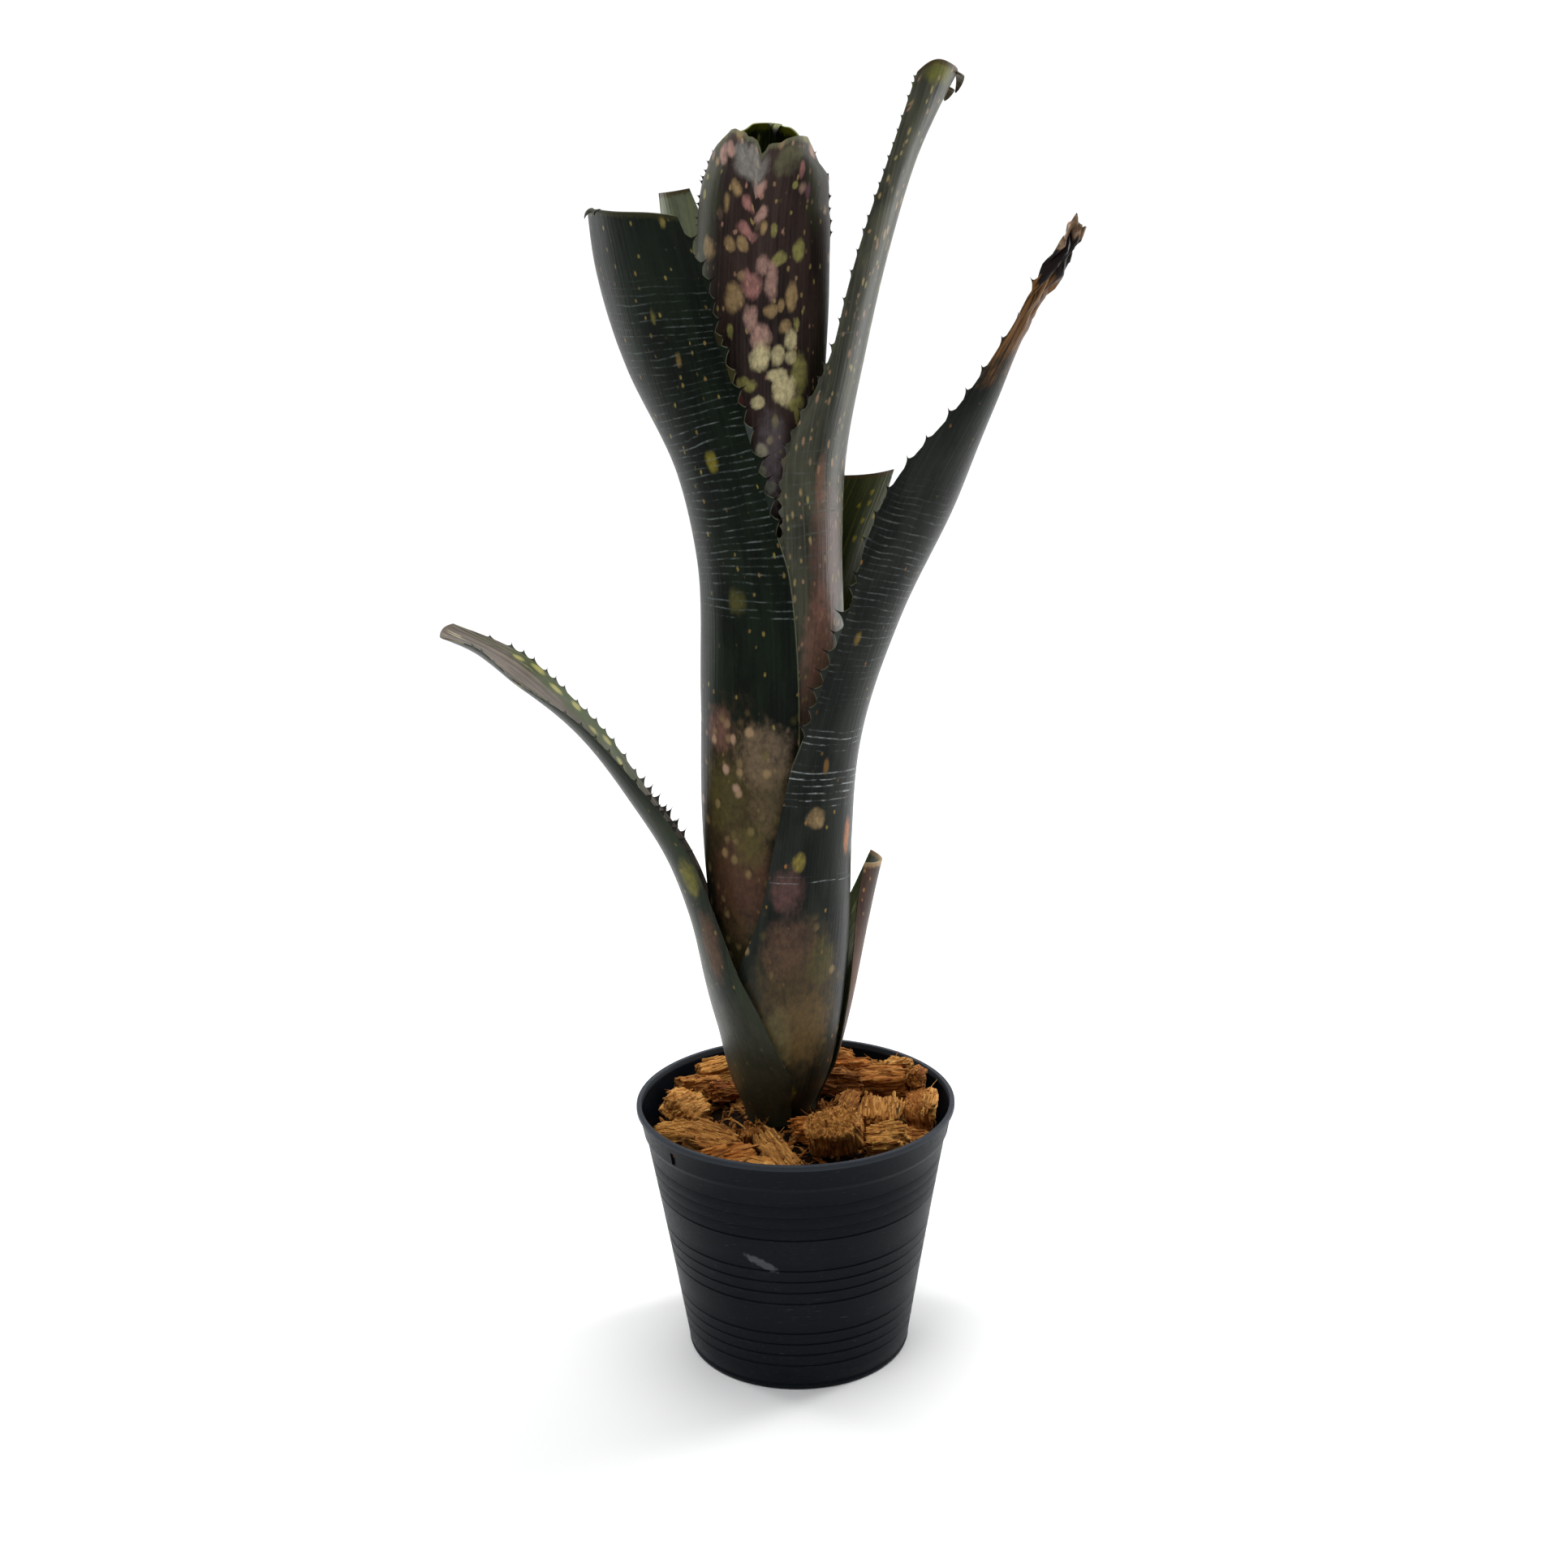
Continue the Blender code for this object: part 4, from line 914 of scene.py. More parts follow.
def grow_tongues(bm, place, trim, sheet, normal, lengths, tongues):
    across = sheet.shape[1] - 1
    for spread, back, way, curl, length, half_width, turn, live in tongues:
        j = int(round((spread + 1.0) * 0.5 * across))
        point = Vector(sheet[-1, j])
        tipward = Vector(sheet[-1, j] - sheet[-4, j]).normalized()
        sideways = Vector(sheet[-1, min(j + 1, across)] - sheet[-1, max(j - 1, 0)]).normalized()
        outwards = sideways.cross(tipward).normalized() * -1.0
        if outwards.dot(Vector(normal[-2, j])) < 0.0:
            outwards.negate()
        ahead = (tipward * way[0] + sideways * way[1] + outwards * way[2]).normalized()
        side = tipward * curl[0] + sideways * curl[1] + outwards * curl[2]
        side = (side - ahead * side.dot(ahead)).normalized()
        start = (point - tipward * back) * MM
        for v in lay_curved(bm, tongue_shape, start, ahead, side, length * MM, half_width * MM, 0.3 * MM,
                            turn):
            reach = (v.co - start).length / (length * MM)
            v[place] = (40.0 + (v.co / MM - point).dot(sideways), lengths[-1] + 3.0 * reach, 0.0)
            v[trim] = (9.0, max(0.0, (reach - live) / (1.0 - live)), 1.2)


# edge of the leaf, start and end along it, spacing, length, how far the line is drawn in, and how
# much the spines stand off the face instead of lying in it
SPINES = {
    "leaf_centre_back": ((1, 255, 296, 4.0, 1.5, 0.0, 0.7), (-1, 255, 296, 5.0, 1.5, 0.0, 0.6)),
    "leaf_centre_front": ((1, 243, 297, 2.7, 1.6, 0.0, 0.9), (-1, 266, 297, 4.0, 1.1, 0.0, 0.8)),
    "leaf_back_left": ((1, 215, 268, 6.0, 1.3, 0.0, 0.0), (-1, 215, 268, 6.0, 1.3, 0.0, 0.0)),
    "leaf_right_tall": ((1, 173, 194, 3.2, 2.6, 0.6, 0.0), (1, 196, 247, 4.8, 3.2, 0.8, 0.0),
                        (1, 252, 290, 6.0, 1.7, 0.0, 0.0), (1, 292, 334, 4.4, 1.2, 0.0, 0.0),
                        (-1, 185, 322, 8.0, 1.0, 0.0, 0.0)),
    "leaf_back_right": ((1, 140, 204, 2.6, 1.3, 0.0, 0.0), (-1, 140, 200, 3.5, 1.2, 0.0, 0.0)),
    "leaf_left_broad": ((-1, 192, 251, 6.2, 4.7, 1.6, 0.0), (-1, 254, 288, 6.8, 3.6, 1.0, 0.0),
                        (1, 175, 287, 9.5, 1.7, 0.0, 0.0)),
    "leaf_front_right": ((1, 134, 178, 6.0, 4.4, 1.4, 0.0), (1, 182, 288, 9.0, 2.2, 0.0, 0.0),
                         (-1, 210, 285, 8.0, 0.9, 0.0, 0.0)),
    "leaf_stub_right": (),
    "leaf_outer_left": ((-1, 96, 119, 3.2, 4.2, 0.0, 0.0), (-1, 122, 190, 5.2, 2.8, 0.6, 0.0),
                        (1, 96, 119, 3.6, 4.4, 0.0, 0.0), (1, 122, 188, 5.0, 2.3, 0.0, 0.0)),
}
print("margins with spines:", sum(len(runs) for runs in SPINES.values()))

# %% [markdown]
# Every leaf is the same tissue: a dark base colour under fine lengthwise veins, a soft mottle, pale
# elongated spots, and on the back a silver scurf that lies in cross-bands. So one function makes
# the finish, and each leaf gives its own colours, bands and blotches. A blotch is an ellipse with
# a ragged edge. The margin is a pale rim, and the spines go from it to near black.


# %% Leaf finish
def blotch(across, along, ragged, spot, falloff):
    at_across, at_along, half_across, half_along = spot
    away = (((across - at_across) / half_across) ** 2.0 + ((along - at_along) / half_along) ** 2.0
            + (ragged - 0.5) * 2.6)
    return away.between(*falloff)


def scattered(near, chance, wobble, size, share, fade):
    # a ragged mark in the middle of some cells; share is the part of the cells that have one
    return (near + wobble).between(*size) * chance.between(1.0 - share, 1.0 - share + fade)


def leaf_finish(name, look):
    finish, tree, shader, place = new_finish(name, "leaf_place", Specular_IOR_Level=look["shine"])
    across, along, inner = parts(tree, place)
    edge, horn, tip = parts(tree, attribute(tree, "leaf_trim"))
    shift = look["shift"]
    veins = cloud(tree, place, (1.3, 0.02, 9.0), 3.0, 0.6, (shift, 0.0, 0.0))
    mottle = cloud(tree, place, (0.10, 0.035, 5.0), 4.0, 0.6, (0.0, shift, 0.0), 0.4)
    ragged = cloud(tree, place, (0.30, 0.17, 5.0), 5.0, 0.62, (shift, 5.0, 0.0))
    speck = cloud(tree, place, (1.1, 0.8, 5.0), 3.0, 0.7, (3.0, shift, 0.0))
    grainy = cloud(tree, place, (0.7, 0.45, 5.0), 4.0, 0.65, (shift, 9.0, 0.0)).between(0.36, 0.64)

    # the back of the leaf: base, veins, freckles, larger spots, blotches
    outer = blend(mottle.between(0.35, 0.68), look["dark"], look["mid"])
    outer = blend(veins.between(0.42, 0.72) * look["veins"], outer, look["vein"])
    near, chance, tone = cells(tree, place, (0.42, 0.26, 3.0), (shift, 2.0, 0.0))
    freckles = scattered(near, chance, (speck - 0.5) * 0.3, (0.26, 0.10), look["freckled"], 0.12)
    outer = blend(freckles * 0.75, outer, blend(tone, look["spot"], look["spot_two"]))
    near, chance, tone = cells(tree, place, look["spot_cells"], (shift, 8.0, 0.0))
    spots = scattered(near, chance, (ragged - 0.5) * 0.5, (0.27, 0.10), look["spotted"], 0.10)
    outer = blend(spots * look["spot_strength"], outer, blend(tone, look["spot"], look["spot_two"]))
    for spot, colour, strength in look["blotches_and_sheen"]:
        shape = blotch(across, along, ragged, spot, look["falloff"]) * (0.62 + 0.38 * grainy)
        outer = blend(shape * strength, outer, colour)
    near, chance, tone = cells(tree, place, (0.24, 0.19, 3.0), (shift, 4.0, 0.0))
    for middle, half, share, first, second in look["dappled"]:
        zone = ((along - middle) / half).maths('ABSOLUTE').between(1.15, 0.85)
        dapples = scattered(near, chance, (ragged - 0.5) * 0.5, (0.42, 0.14), share, 0.10)
        outer = blend(dapples * zone * 0.6, outer, blend(tone, first, second))

    # silver scurf: thin broken lines across the leaf, in bands
    warp = cloud(tree, place, (0.035, 0.08, 5.0), 2.0, 0.5, (shift, 1.0, 0.0))
    broken = cloud(tree, place, (0.14, 0.55, 5.0), 3.0, 0.7, (1.0, shift, 0.0))
    wave = ((along / look["line_step"] + warp * 2.0) * math.tau).maths('SINE')
    worn = 0.25 + 0.75 * ragged.between(0.40, 0.60)
    lines = wave.between(0.55, 1.0) * broken.between(0.40, 0.62) * (0.35 + speck) * worn
    scurf = None
    for middle, half, strength in look["scurf"]:
        band = (((along - middle + (ragged - 0.5) * half) / half) ** 2.0).between(1.0, 0.0) * strength
        scurf = band * lines if scurf is None else scurf.most(band * lines)
    if scurf is not None:
        outer = blend(scurf, outer, look["silver"])

    # the inner face, lighter, with dashes that follow the veins
    face = blend(mottle.between(0.3, 0.7), look["inner_dark"], look["inner_mid"])
    near, chance, _ = cells(tree, place, look["dash_cells"], (4.0, shift, 0.0))
    dashes = scattered(near, chance, (speck - 0.5) * 0.3, (0.30, 0.10), look["dashed"], 0.12)
    face = blend(dashes * 0.85, face, look["dash"])
    face = blend(veins.between(0.45, 0.75) * 0.25, face, look["dash"])
    for spot, colour, strength in look["inner_blotches"]:
        face = blend(blotch(across, along, ragged, spot, look["falloff"]) * strength, face, colour)

    colour = blend(inner.between(0.35, 0.65), outer, face)
    if "dry_from" in look:
        dry = (along + (ragged - 0.5) * 40.0).between(look["dry_from"], look["dry_from"] + 20.0)
        husk_brown = blend(veins.between(0.35, 0.65), srgb(50, 30, 18), srgb(134, 94, 50))
        colour = blend(dry, colour, husk_brown)
        for reach, tone in look["dead_end"]:
            dead = (tip + (ragged - 0.5) * 9.0).between(reach + 1.5, reach - 1.5)
            colour = blend(dead, colour, tone)
    rim = (edge + (speck - 0.5) * 0.3).between(0.55, 0.10) * horn.between(0.4, 0.0)
    rim = rim * along.between(look["rim_from"], look["rim_from"] + 30.0)
    colour = blend(rim * look["rim_strength"], colour, look["rim"])
    scar = (tip + (speck - 0.5) * 3.0).between(2.0, 0.6)
    colour = blend(scar * look["scar"], colour, look["scar_colour"])
    colour = blend(horn.between(0.0, 0.35), colour, srgb(24, 16, 14))
    feed(tree, shader, "Base Color", colour)
    gloss = look["rough"] + (mottle - 0.5) * 0.18 + freckles * 0.08 + (broken - 0.5) * 0.10
    if scurf is not None:
        gloss = gloss + scurf * 0.35
    feed(tree, shader, "Roughness", gloss)
    relief = veins * 0.7 + speck * 0.25
    raise_surface(tree, shader, relief if scurf is None else relief + scurf, 0.00016)
    return finish


PINK = srgb(186, 148, 134)
ROSE = srgb(174, 122, 114)
CREAM = srgb(214, 200, 152)
PALE_GREEN = srgb(158, 152, 88)
TAN = srgb(168, 140, 98)
OLIVE = srgb(92, 88, 46)
# what holds for a leaf that gives nothing else. Places and sizes are in mm, across and along it.
common = dict(
    vein=srgb(60, 70, 52), veins=0.2, spot=srgb(150, 140, 70), spot_two=srgb(136, 108, 62), shift=0.0,
    shine=0.2, rough=0.34, freckled=0.22, spotted=0.14, spot_cells=(0.20, 0.085, 3.0), spot_strength=0.75,
    blotches_and_sheen=(), falloff=(1.6, 0.05), dappled=(), scurf=(), line_step=3.0, silver=srgb(118, 128, 124),
    inner_dark=srgb(40, 50, 26), inner_mid=srgb(76, 86, 44), inner_blotches=(), dash=srgb(168, 164, 98),
    dashed=0.35, dash_cells=(0.40, 0.10, 3.0), rim=srgb(146, 148, 116), rim_from=110.0,
    rim_strength=0.45, scar=0.8, scar_colour=srgb(74, 56, 34))
LOOKS = {
    "leaf_centre_back": dict(dark=srgb(40, 48, 24), mid=srgb(72, 80, 36), shift=3.0, rim=srgb(150, 150, 30),
                             inner_dark=srgb(14, 20, 10), inner_mid=srgb(30, 42, 16), scar=0.6,
                             scar_colour=srgb(126, 128, 30), rim_strength=0.8),
    "leaf_centre_front": dict(
        dark=srgb(35, 27, 26), mid=srgb(59, 46, 42), vein=srgb(86, 74, 68), shift=11.0, freckled=0.62,
        spotted=0.22, spot=srgb(150, 138, 74), spot_two=srgb(172, 126, 112), rough=0.42, veins=0.3,
        blotches_and_sheen=(
            ((20, 276, 7, 26), srgb(54, 60, 32), 0.8), ((-19, 284, 6, 16), srgb(52, 56, 34), 0.7),
            # the pale grey patch at (4, 287) by the notch is a painted highlight, the glare on the
            # tipped-back rim, over pale scurf
            ((4, 287, 6, 5), srgb(170, 166, 158), 0.6), ((-7, 288, 5, 4), srgb(112, 112, 84), 0.6),
            ((0, 283, 2, 2), PINK, 0.8), ((7, 279, 2, 2), TAN, 0.9), ((3, 277, 2, 2), ROSE, 0.9),
            ((-1, 275, 2, 2), PINK, 0.9), ((-2, 271, 1, 2), TAN, 0.9), ((3, 270, 3, 2), ROSE, 0.9),
            ((-5, 270, 1, 2), PALE_GREEN, 0.8), ((4, 266, 2, 2), TAN, 0.95), ((8, 265, 2, 2), TAN, 0.8),
            ((16, 262, 3, 3), TAN, 0.8), ((-7, 262, 2, 2), PALE_GREEN, 0.8),
            ((-13, 263, 2, 3), PALE_GREEN, 0.9), ((-2, 261, 2, 3), PINK, 0.8), ((1, 256, 3, 4), ROSE, 0.8),
            ((-5, 256, 2, 5), PINK, 0.8), ((-11, 251, 2, 4), TAN, 0.9), ((6, 251, 3, 4), TAN, 0.9),
            ((1, 247, 2, 4), PINK, 0.8), ((-5, 248, 2, 2), TAN, 0.8), ((-8, 249, 1, 2), TAN, 0.8),
            ((11, 288, 2, 2), PINK, 0.8), ((14, 286, 2, 3), PINK, 0.8), ((-17, 290, 2, 3), PINK, 0.7),
            ((-12, 284, 1, 2), ROSE, 0.8), ((21, 278, 1, 1), PALE_GREEN, 0.9),
            ((21, 274, 1, 1), PALE_GREEN, 0.9), ((-10, 281, 1, 1), PALE_GREEN, 0.9),
            ((-15, 279, 1, 2), srgb(112, 72, 88), 0.8), ((8, 294, 2, 3), TAN, 0.7),
            ((-14, 294, 2, 2), TAN, 0.7), ((-9, 243, 2, 2), TAN, 0.85),
            ((-13, 243, 1, 2), PALE_GREEN, 0.8), ((7, 242, 1, 2), PALE_GREEN, 0.8),
            ((-2, 241, 3, 4), PINK, 0.9), ((-2, 236, 3, 4), CREAM, 0.95), ((-11, 239, 2, 3), CREAM, 0.9),
            ((-7, 235, 2, 3), CREAM, 0.85), ((-11, 234, 2, 2), CREAM, 0.85),
            ((-7, 230, 3, 2), CREAM, 0.95), ((-14, 229, 3, 6), PALE_GREEN, 0.8),
            ((2, 228, 3, 2), PALE_GREEN, 0.9), ((-9, 225, 4, 4), CREAM, 1.0),
            ((-13, 221, 3, 2), PALE_GREEN, 0.9), ((-1, 223, 2, 2), CREAM, 0.95),
            ((4, 223, 1, 2), srgb(112, 60, 62), 0.8), ((-6, 217, 1, 2), PALE_GREEN, 0.6),
            # the long grey-mauve patch at (-5, 206) is a painted reflection: the sheen down the keel of the
            # tube
            ((-13, 218, 1, 2), PALE_GREEN, 0.8), ((-5, 206, 5, 14), srgb(104, 94, 98), 0.7),
            ((-2, 209, 2, 2), srgb(180, 174, 148), 0.9), ((-1, 203, 2, 2), srgb(136, 136, 108), 0.8),
            ((-4, 198, 2, 2), srgb(136, 138, 122), 0.7), ((17, 292, 4, 4), OLIVE, 0.6),
            ((-17, 294, 4, 3), OLIVE, 0.6)),
        falloff=(1.5, 0.15),
        shine=0.1, dappled=((270.0, 26.0, 0.12, PINK, TAN), (215.0, 24.0, 0.12, CREAM, OLIVE)),
        rim=srgb(140, 140, 110), scar=0.5, scar_colour=srgb(120, 122, 90)),
    "leaf_back_left": dict(dark=srgb(58, 68, 46), mid=srgb(92, 102, 72), shift=17.0,
                           blotches_and_sheen=(((0, 290, 40, 60), srgb(128, 136, 110), 0.8),),
                           inner_dark=srgb(84, 92, 72), inner_mid=srgb(128, 134, 112)),
    "leaf_right_tall": dict(
        dark=srgb(50, 52, 44), mid=srgb(84, 84, 68), vein=srgb(110, 108, 90), veins=0.4, shift=23.0,
        freckled=0.7, spotted=0.85, spot_cells=(0.42, 0.16, 3.0), spot=srgb(168, 158, 100),
        spot_two=srgb(172, 132, 110), spot_strength=0.8, rough=0.36,
        scurf=((200.0, 26.0, 0.3), (249.0, 1.5, 0.5)), rim=srgb(120, 120, 98), rim_strength=0.3,
        blotches_and_sheen=(((10, 182, 8, 22), srgb(122, 84, 78), 0.6), ((2, 325, 5, 4), srgb(140, 140, 40), 0.6),
                  ((14, 158, 6, 16), srgb(158, 112, 98), 0.7), ((16, 140, 5, 10), srgb(132, 94, 84), 0.6),
                  ((13, 205, 2, 10), srgb(150, 110, 90), 0.6))),
    "leaf_back_right": dict(dark=srgb(36, 46, 22), mid=srgb(60, 70, 34), shift=29.0, dashed=0.45,
                            dash_cells=(0.24, 0.20, 3.0), inner_dark=srgb(40, 48, 26),
                            inner_mid=srgb(60, 68, 38), dash=srgb(160, 142, 36)),
    "leaf_left_broad": dict(
        dark=srgb(9, 15, 10), mid=srgb(21, 30, 20), vein=srgb(36, 47, 36), shift=37.0,
        line_step=2.3, shine=0.08, freckled=0.36,
        scurf=((216.0, 26.0, 0.75), (192.0, 18.0, 0.7), (171.0, 4.0, 0.8), (254.0, 20.0, 0.45)),
        dappled=((98.0, 40.0, 0.75, OLIVE, TAN), (122.0, 14.0, 0.6, TAN, PINK)),
        blotches_and_sheen=(((-9, 104, 15, 34), srgb(78, 62, 40), 0.75), ((-12, 84, 12, 18), srgb(96, 62, 50), 0.6),
                  ((-10, 62, 10, 14), srgb(84, 70, 44), 0.5), ((-5, 112, 8, 12), OLIVE, 0.45),
                  ((-19, 126, 9, 10), srgb(146, 124, 100), 0.55), ((-20, 112, 6, 12), srgb(112, 96, 70), 0.6),
                  ((-3, 133, 6, 7), srgb(118, 84, 74), 0.8), ((-14, 97, 5, 8), OLIVE, 0.6),
                  ((-11, 173, 3, 4), OLIVE, 0.7), ((-12, 214, 2, 3), srgb(132, 122, 44), 0.9)),
        scar_colour=srgb(52, 50, 26)),
    "leaf_front_right": dict(
        dark=srgb(16, 20, 17), mid=srgb(36, 40, 34), vein=srgb(58, 64, 56), shift=41.0, dry_from=246.0,
        shine=0.12, dead_end=((16.0, srgb(30, 22, 22)), (2.5, srgb(178, 146, 118))),
        line_step=2.2, freckled=0.14, spotted=0.08, spot=srgb(160, 132, 58), spot_two=srgb(170, 112, 62),
        scurf=((117.0, 7.0, 1.9), (87.0, 1.6, 1.1), (132.0, 4.0, 1.5), (180.0, 40.0, 0.4)),
        silver=srgb(148, 154, 152),
        dappled=((48.0, 26.0, 0.30, OLIVE, TAN),),
        blotches_and_sheen=(((11, 46, 15, 26), srgb(92, 74, 46), 0.8), ((16, 66, 8, 10), srgb(104, 76, 62), 0.6),
                  ((4, 60, 5, 8), OLIVE, 0.5), ((18, 84, 5, 7), srgb(112, 78, 74), 0.7),
                  ((8, 38, 9, 12), srgb(122, 98, 58), 0.6), ((18, 32, 6, 12), srgb(116, 108, 72), 0.7),
                  ((11, 12, 4, 5), srgb(122, 124, 44), 0.8), ((11, 107, 3, 3), TAN, 0.9),
                  ((-3, 100, 2, 6), srgb(176, 112, 64), 0.9), ((15, 93, 2, 3), srgb(150, 134, 64), 0.9))),
    "leaf_stub_right": dict(dark=srgb(60, 40, 32), mid=srgb(104, 74, 56), shift=47.0, scar_colour=TAN,
                            spot=srgb(170, 128, 80), spot_two=srgb(180, 136, 96), freckled=0.4, spotted=0.3,
                            rough=0.45),
    "leaf_outer_left": dict(
        dark=srgb(22, 28, 19), mid=srgb(42, 50, 33), shift=53.0, rim_from=85.0, rim_strength=0.8,
        shine=0.14, freckled=0.36,
        inner_dark=srgb(60, 54, 50), inner_mid=srgb(100, 91, 86), dash=srgb(186, 176, 142), dashed=0.7,
        dash_cells=(0.60, 0.07, 3.0),
        blotches_and_sheen=(((-12, 89, 3, 6), srgb(124, 118, 50), 0.85), ((-14, 66, 4, 12), srgb(108, 76, 54), 0.6),
                  ((0, 22, 34, 26), srgb(58, 54, 42), 0.8), ((12, 8, 10, 10), srgb(70, 62, 48), 0.6)),
        inner_blotches=(((10, 148, 4, 34), srgb(56, 70, 24), 0.9), ((9, 128, 1, 2), PALE_GREEN, 0.9),
                        ((10, 136, 1, 2), PALE_GREEN, 0.9), ((8, 141, 1, 2), PALE_GREEN, 0.8),
                        ((10, 150, 1, 2), PALE_GREEN, 0.9), ((9, 158, 1, 3), PALE_GREEN, 0.9),
                        ((10, 167, 1, 3), PALE_GREEN, 0.9), ((9, 174, 1, 2), PALE_GREEN, 0.9)),
        scar_colour=srgb(92, 82, 70)),
}
leaf_finishes = {name: leaf_finish(name + "_tissue", {**common, **look}) for name, look in LOOKS.items()}
print("leaf finishes:", len(leaf_finishes))

# %% [markdown]
# The leaves are made from the innermost outwards, each eased over those already there, as they
# grow in the rosette.

# %% Grow the leaves
STEP_ALONG = 2.0
STEPS_ACROSS = {"leaf_centre_front": 60, "leaf_centre_back": 44}
dice = random.Random(7)
grown = [nodes["stem"].data]
for leaf_name, spec in LEAVES.items():
    centres = np.array(spec["stations"])[:, :3]
    along = int(np.linalg.norm(np.diff(centres, axis=0), axis=1).sum() / STEP_ALONG)
    sheet = ease_over(spec, tree_of(grown), along, STEPS_ACROSS.get(leaf_name, 28))
    if "dried" in spec:
        sheet = crumple(sheet, *spec["dried"])
    sheet = draw_in(sheet, SPINES[leaf_name])
    bm, place, trim, normal, lengths = leaf_skin(spec, sheet)
    count = grow_spines(bm, place, trim, sheet, lengths, SPINES[leaf_name], dice)
    grow_tongues(bm, place, trim, sheet, normal, lengths, TONGUES.get(leaf_name, ()))
    print(leaf_name, "is", round(float(lengths[-1])), "mm long, with", count, "spines")
    piece = finish_piece(bm, leaf_name + "_grown", [leaf_finishes[leaf_name]], [leaf_name], crease=70.0)
    grown.append(piece.data)

# %% [markdown]
# Coconut husk breaks into blocks of parallel fibre with cork between them. Each chip starts from a
# copy of its solid, is remeshed to an even skin, and is then pushed in and out in ridges that are
# long along the grain and narrow across it. The grain runs along the block unless the block was
# split another way. A few loose fibres stand off each one.

# %% Husk finish
husk, tree, shader, place = new_finish("husk_fibre", "grain_place", Specular_IOR_Level=0.2)
pale, red, groove_shade = parts(tree, attribute(tree, "husk_tone"))
threads = cloud(tree, place, (0.10, 1.9, 1.9), 4.0, 0.7)
cork = cloud(tree, place, (0.25, 0.35, 0.35), 4.0, 0.6, (5.0, 0.0, 2.0))
base = blend(pale, srgb(108, 60, 22), srgb(192, 134, 62))
base = blend(red * 0.8, base, srgb(176, 92, 24))
base = blend(threads.between(0.46, 0.64) * 0.8, base, blend(pale, srgb(184, 120, 48), srgb(240, 192, 112)))
base = blend(threads.between(0.44, 0.34) * 0.7, base, srgb(46, 23, 10))
base = blend(cork.between(0.52, 0.72) * 0.45, base, srgb(52, 26, 12))
# painted shade: the grooves between the ridges of a chip are darkened; on the strewn crumbs this number is a
# random darkening
base = blend(groove_shade.between(0.2, 0.9) * 0.8, base, srgb(30, 15, 7))
feed(tree, shader, "Base Color", base)
feed(tree, shader, "Roughness", 0.78 + 0.16 * cork)
raise_surface(tree, shader, threads * 0.9 + cork * 0.3, 0.0007)
print("husk finish nodes:", len(tree.nodes))


# %% Husk chips
def remeshed(mesh, voxel):
    bm = bmesh.new()
    bm.from_mesh(mesh)
    bmesh.ops.remove_doubles(bm, verts=bm.verts, dist=0.00001)
    blank = linked("chip_blank", mesh_from(bm, "chip_blank"))
    even = blank.modifiers.new("even", 'REMESH')
    even.mode = 'VOXEL'
    even.voxel_size = voxel
    return worked_out(blank)


def lay_fibre(bm, start, direction, length, radius, turn, dice):
    side = direction.orthogonal().normalized()
    side.rotate(Matrix.Rotation(dice.uniform(0, math.tau), 3, direction))
    return lay_curved(bm, fibre_shape, start, direction, side, length, radius, radius, turn)


UPRIGHT = ("chip_big_block", "chip_tall_right", "chip_small_curl")
ACROSS = ("chip_cross_grain",)
PALE = {"chip_back_left_pale": 0.9, "chip_left_flat": 0.75, "chip_far_left": 0.9, "chip_light_front": 0.95,
        "chip_bright_ridged": 0.9, "chip_grey_plank": 0.45, "chip_big_block": 0.55, "chip_cross_grain": 0.6,
        "chip_right_edge": 0.7, "chip_back_pale": 0.8, "chip_fluffy": 0.45, "chip_dark_plank": 0.05,
        "chip_dark_splinter": 0.0, "chip_far_back": 0.5}
RED = {"chip_reddish": 0.7, "chip_low_orange": 0.8, "chip_orange_flank": 0.85, "chip_orange_back": 0.8,
       "chip_big_fibrous": 0.5, "chip_tall_right": 0.45, "chip_dark_plank": 0.0, "chip_grey_plank": 0.0}
VOXEL = 0.5 * MM
SPLINTERS = 46
LOOSE = 7
# a long strand that has come loose and arches over the bed: foot, way it sets out, way it turns
STRANDS = {"chip_small_curl": ((-15.0, -17.5, 81.5), (-0.60, 0.70, 0.36), (0.16, 0.10, -1.0))}
STRAND_LENGTH = 21.0 * MM
STRAND_HALF_WIDTH = 0.34 * MM
STRAND_HALF_THICK = 0.3 * MM
STRAND_TURN = 0.95
STRAND_TONE = (0.7, 0.0, 0.0)
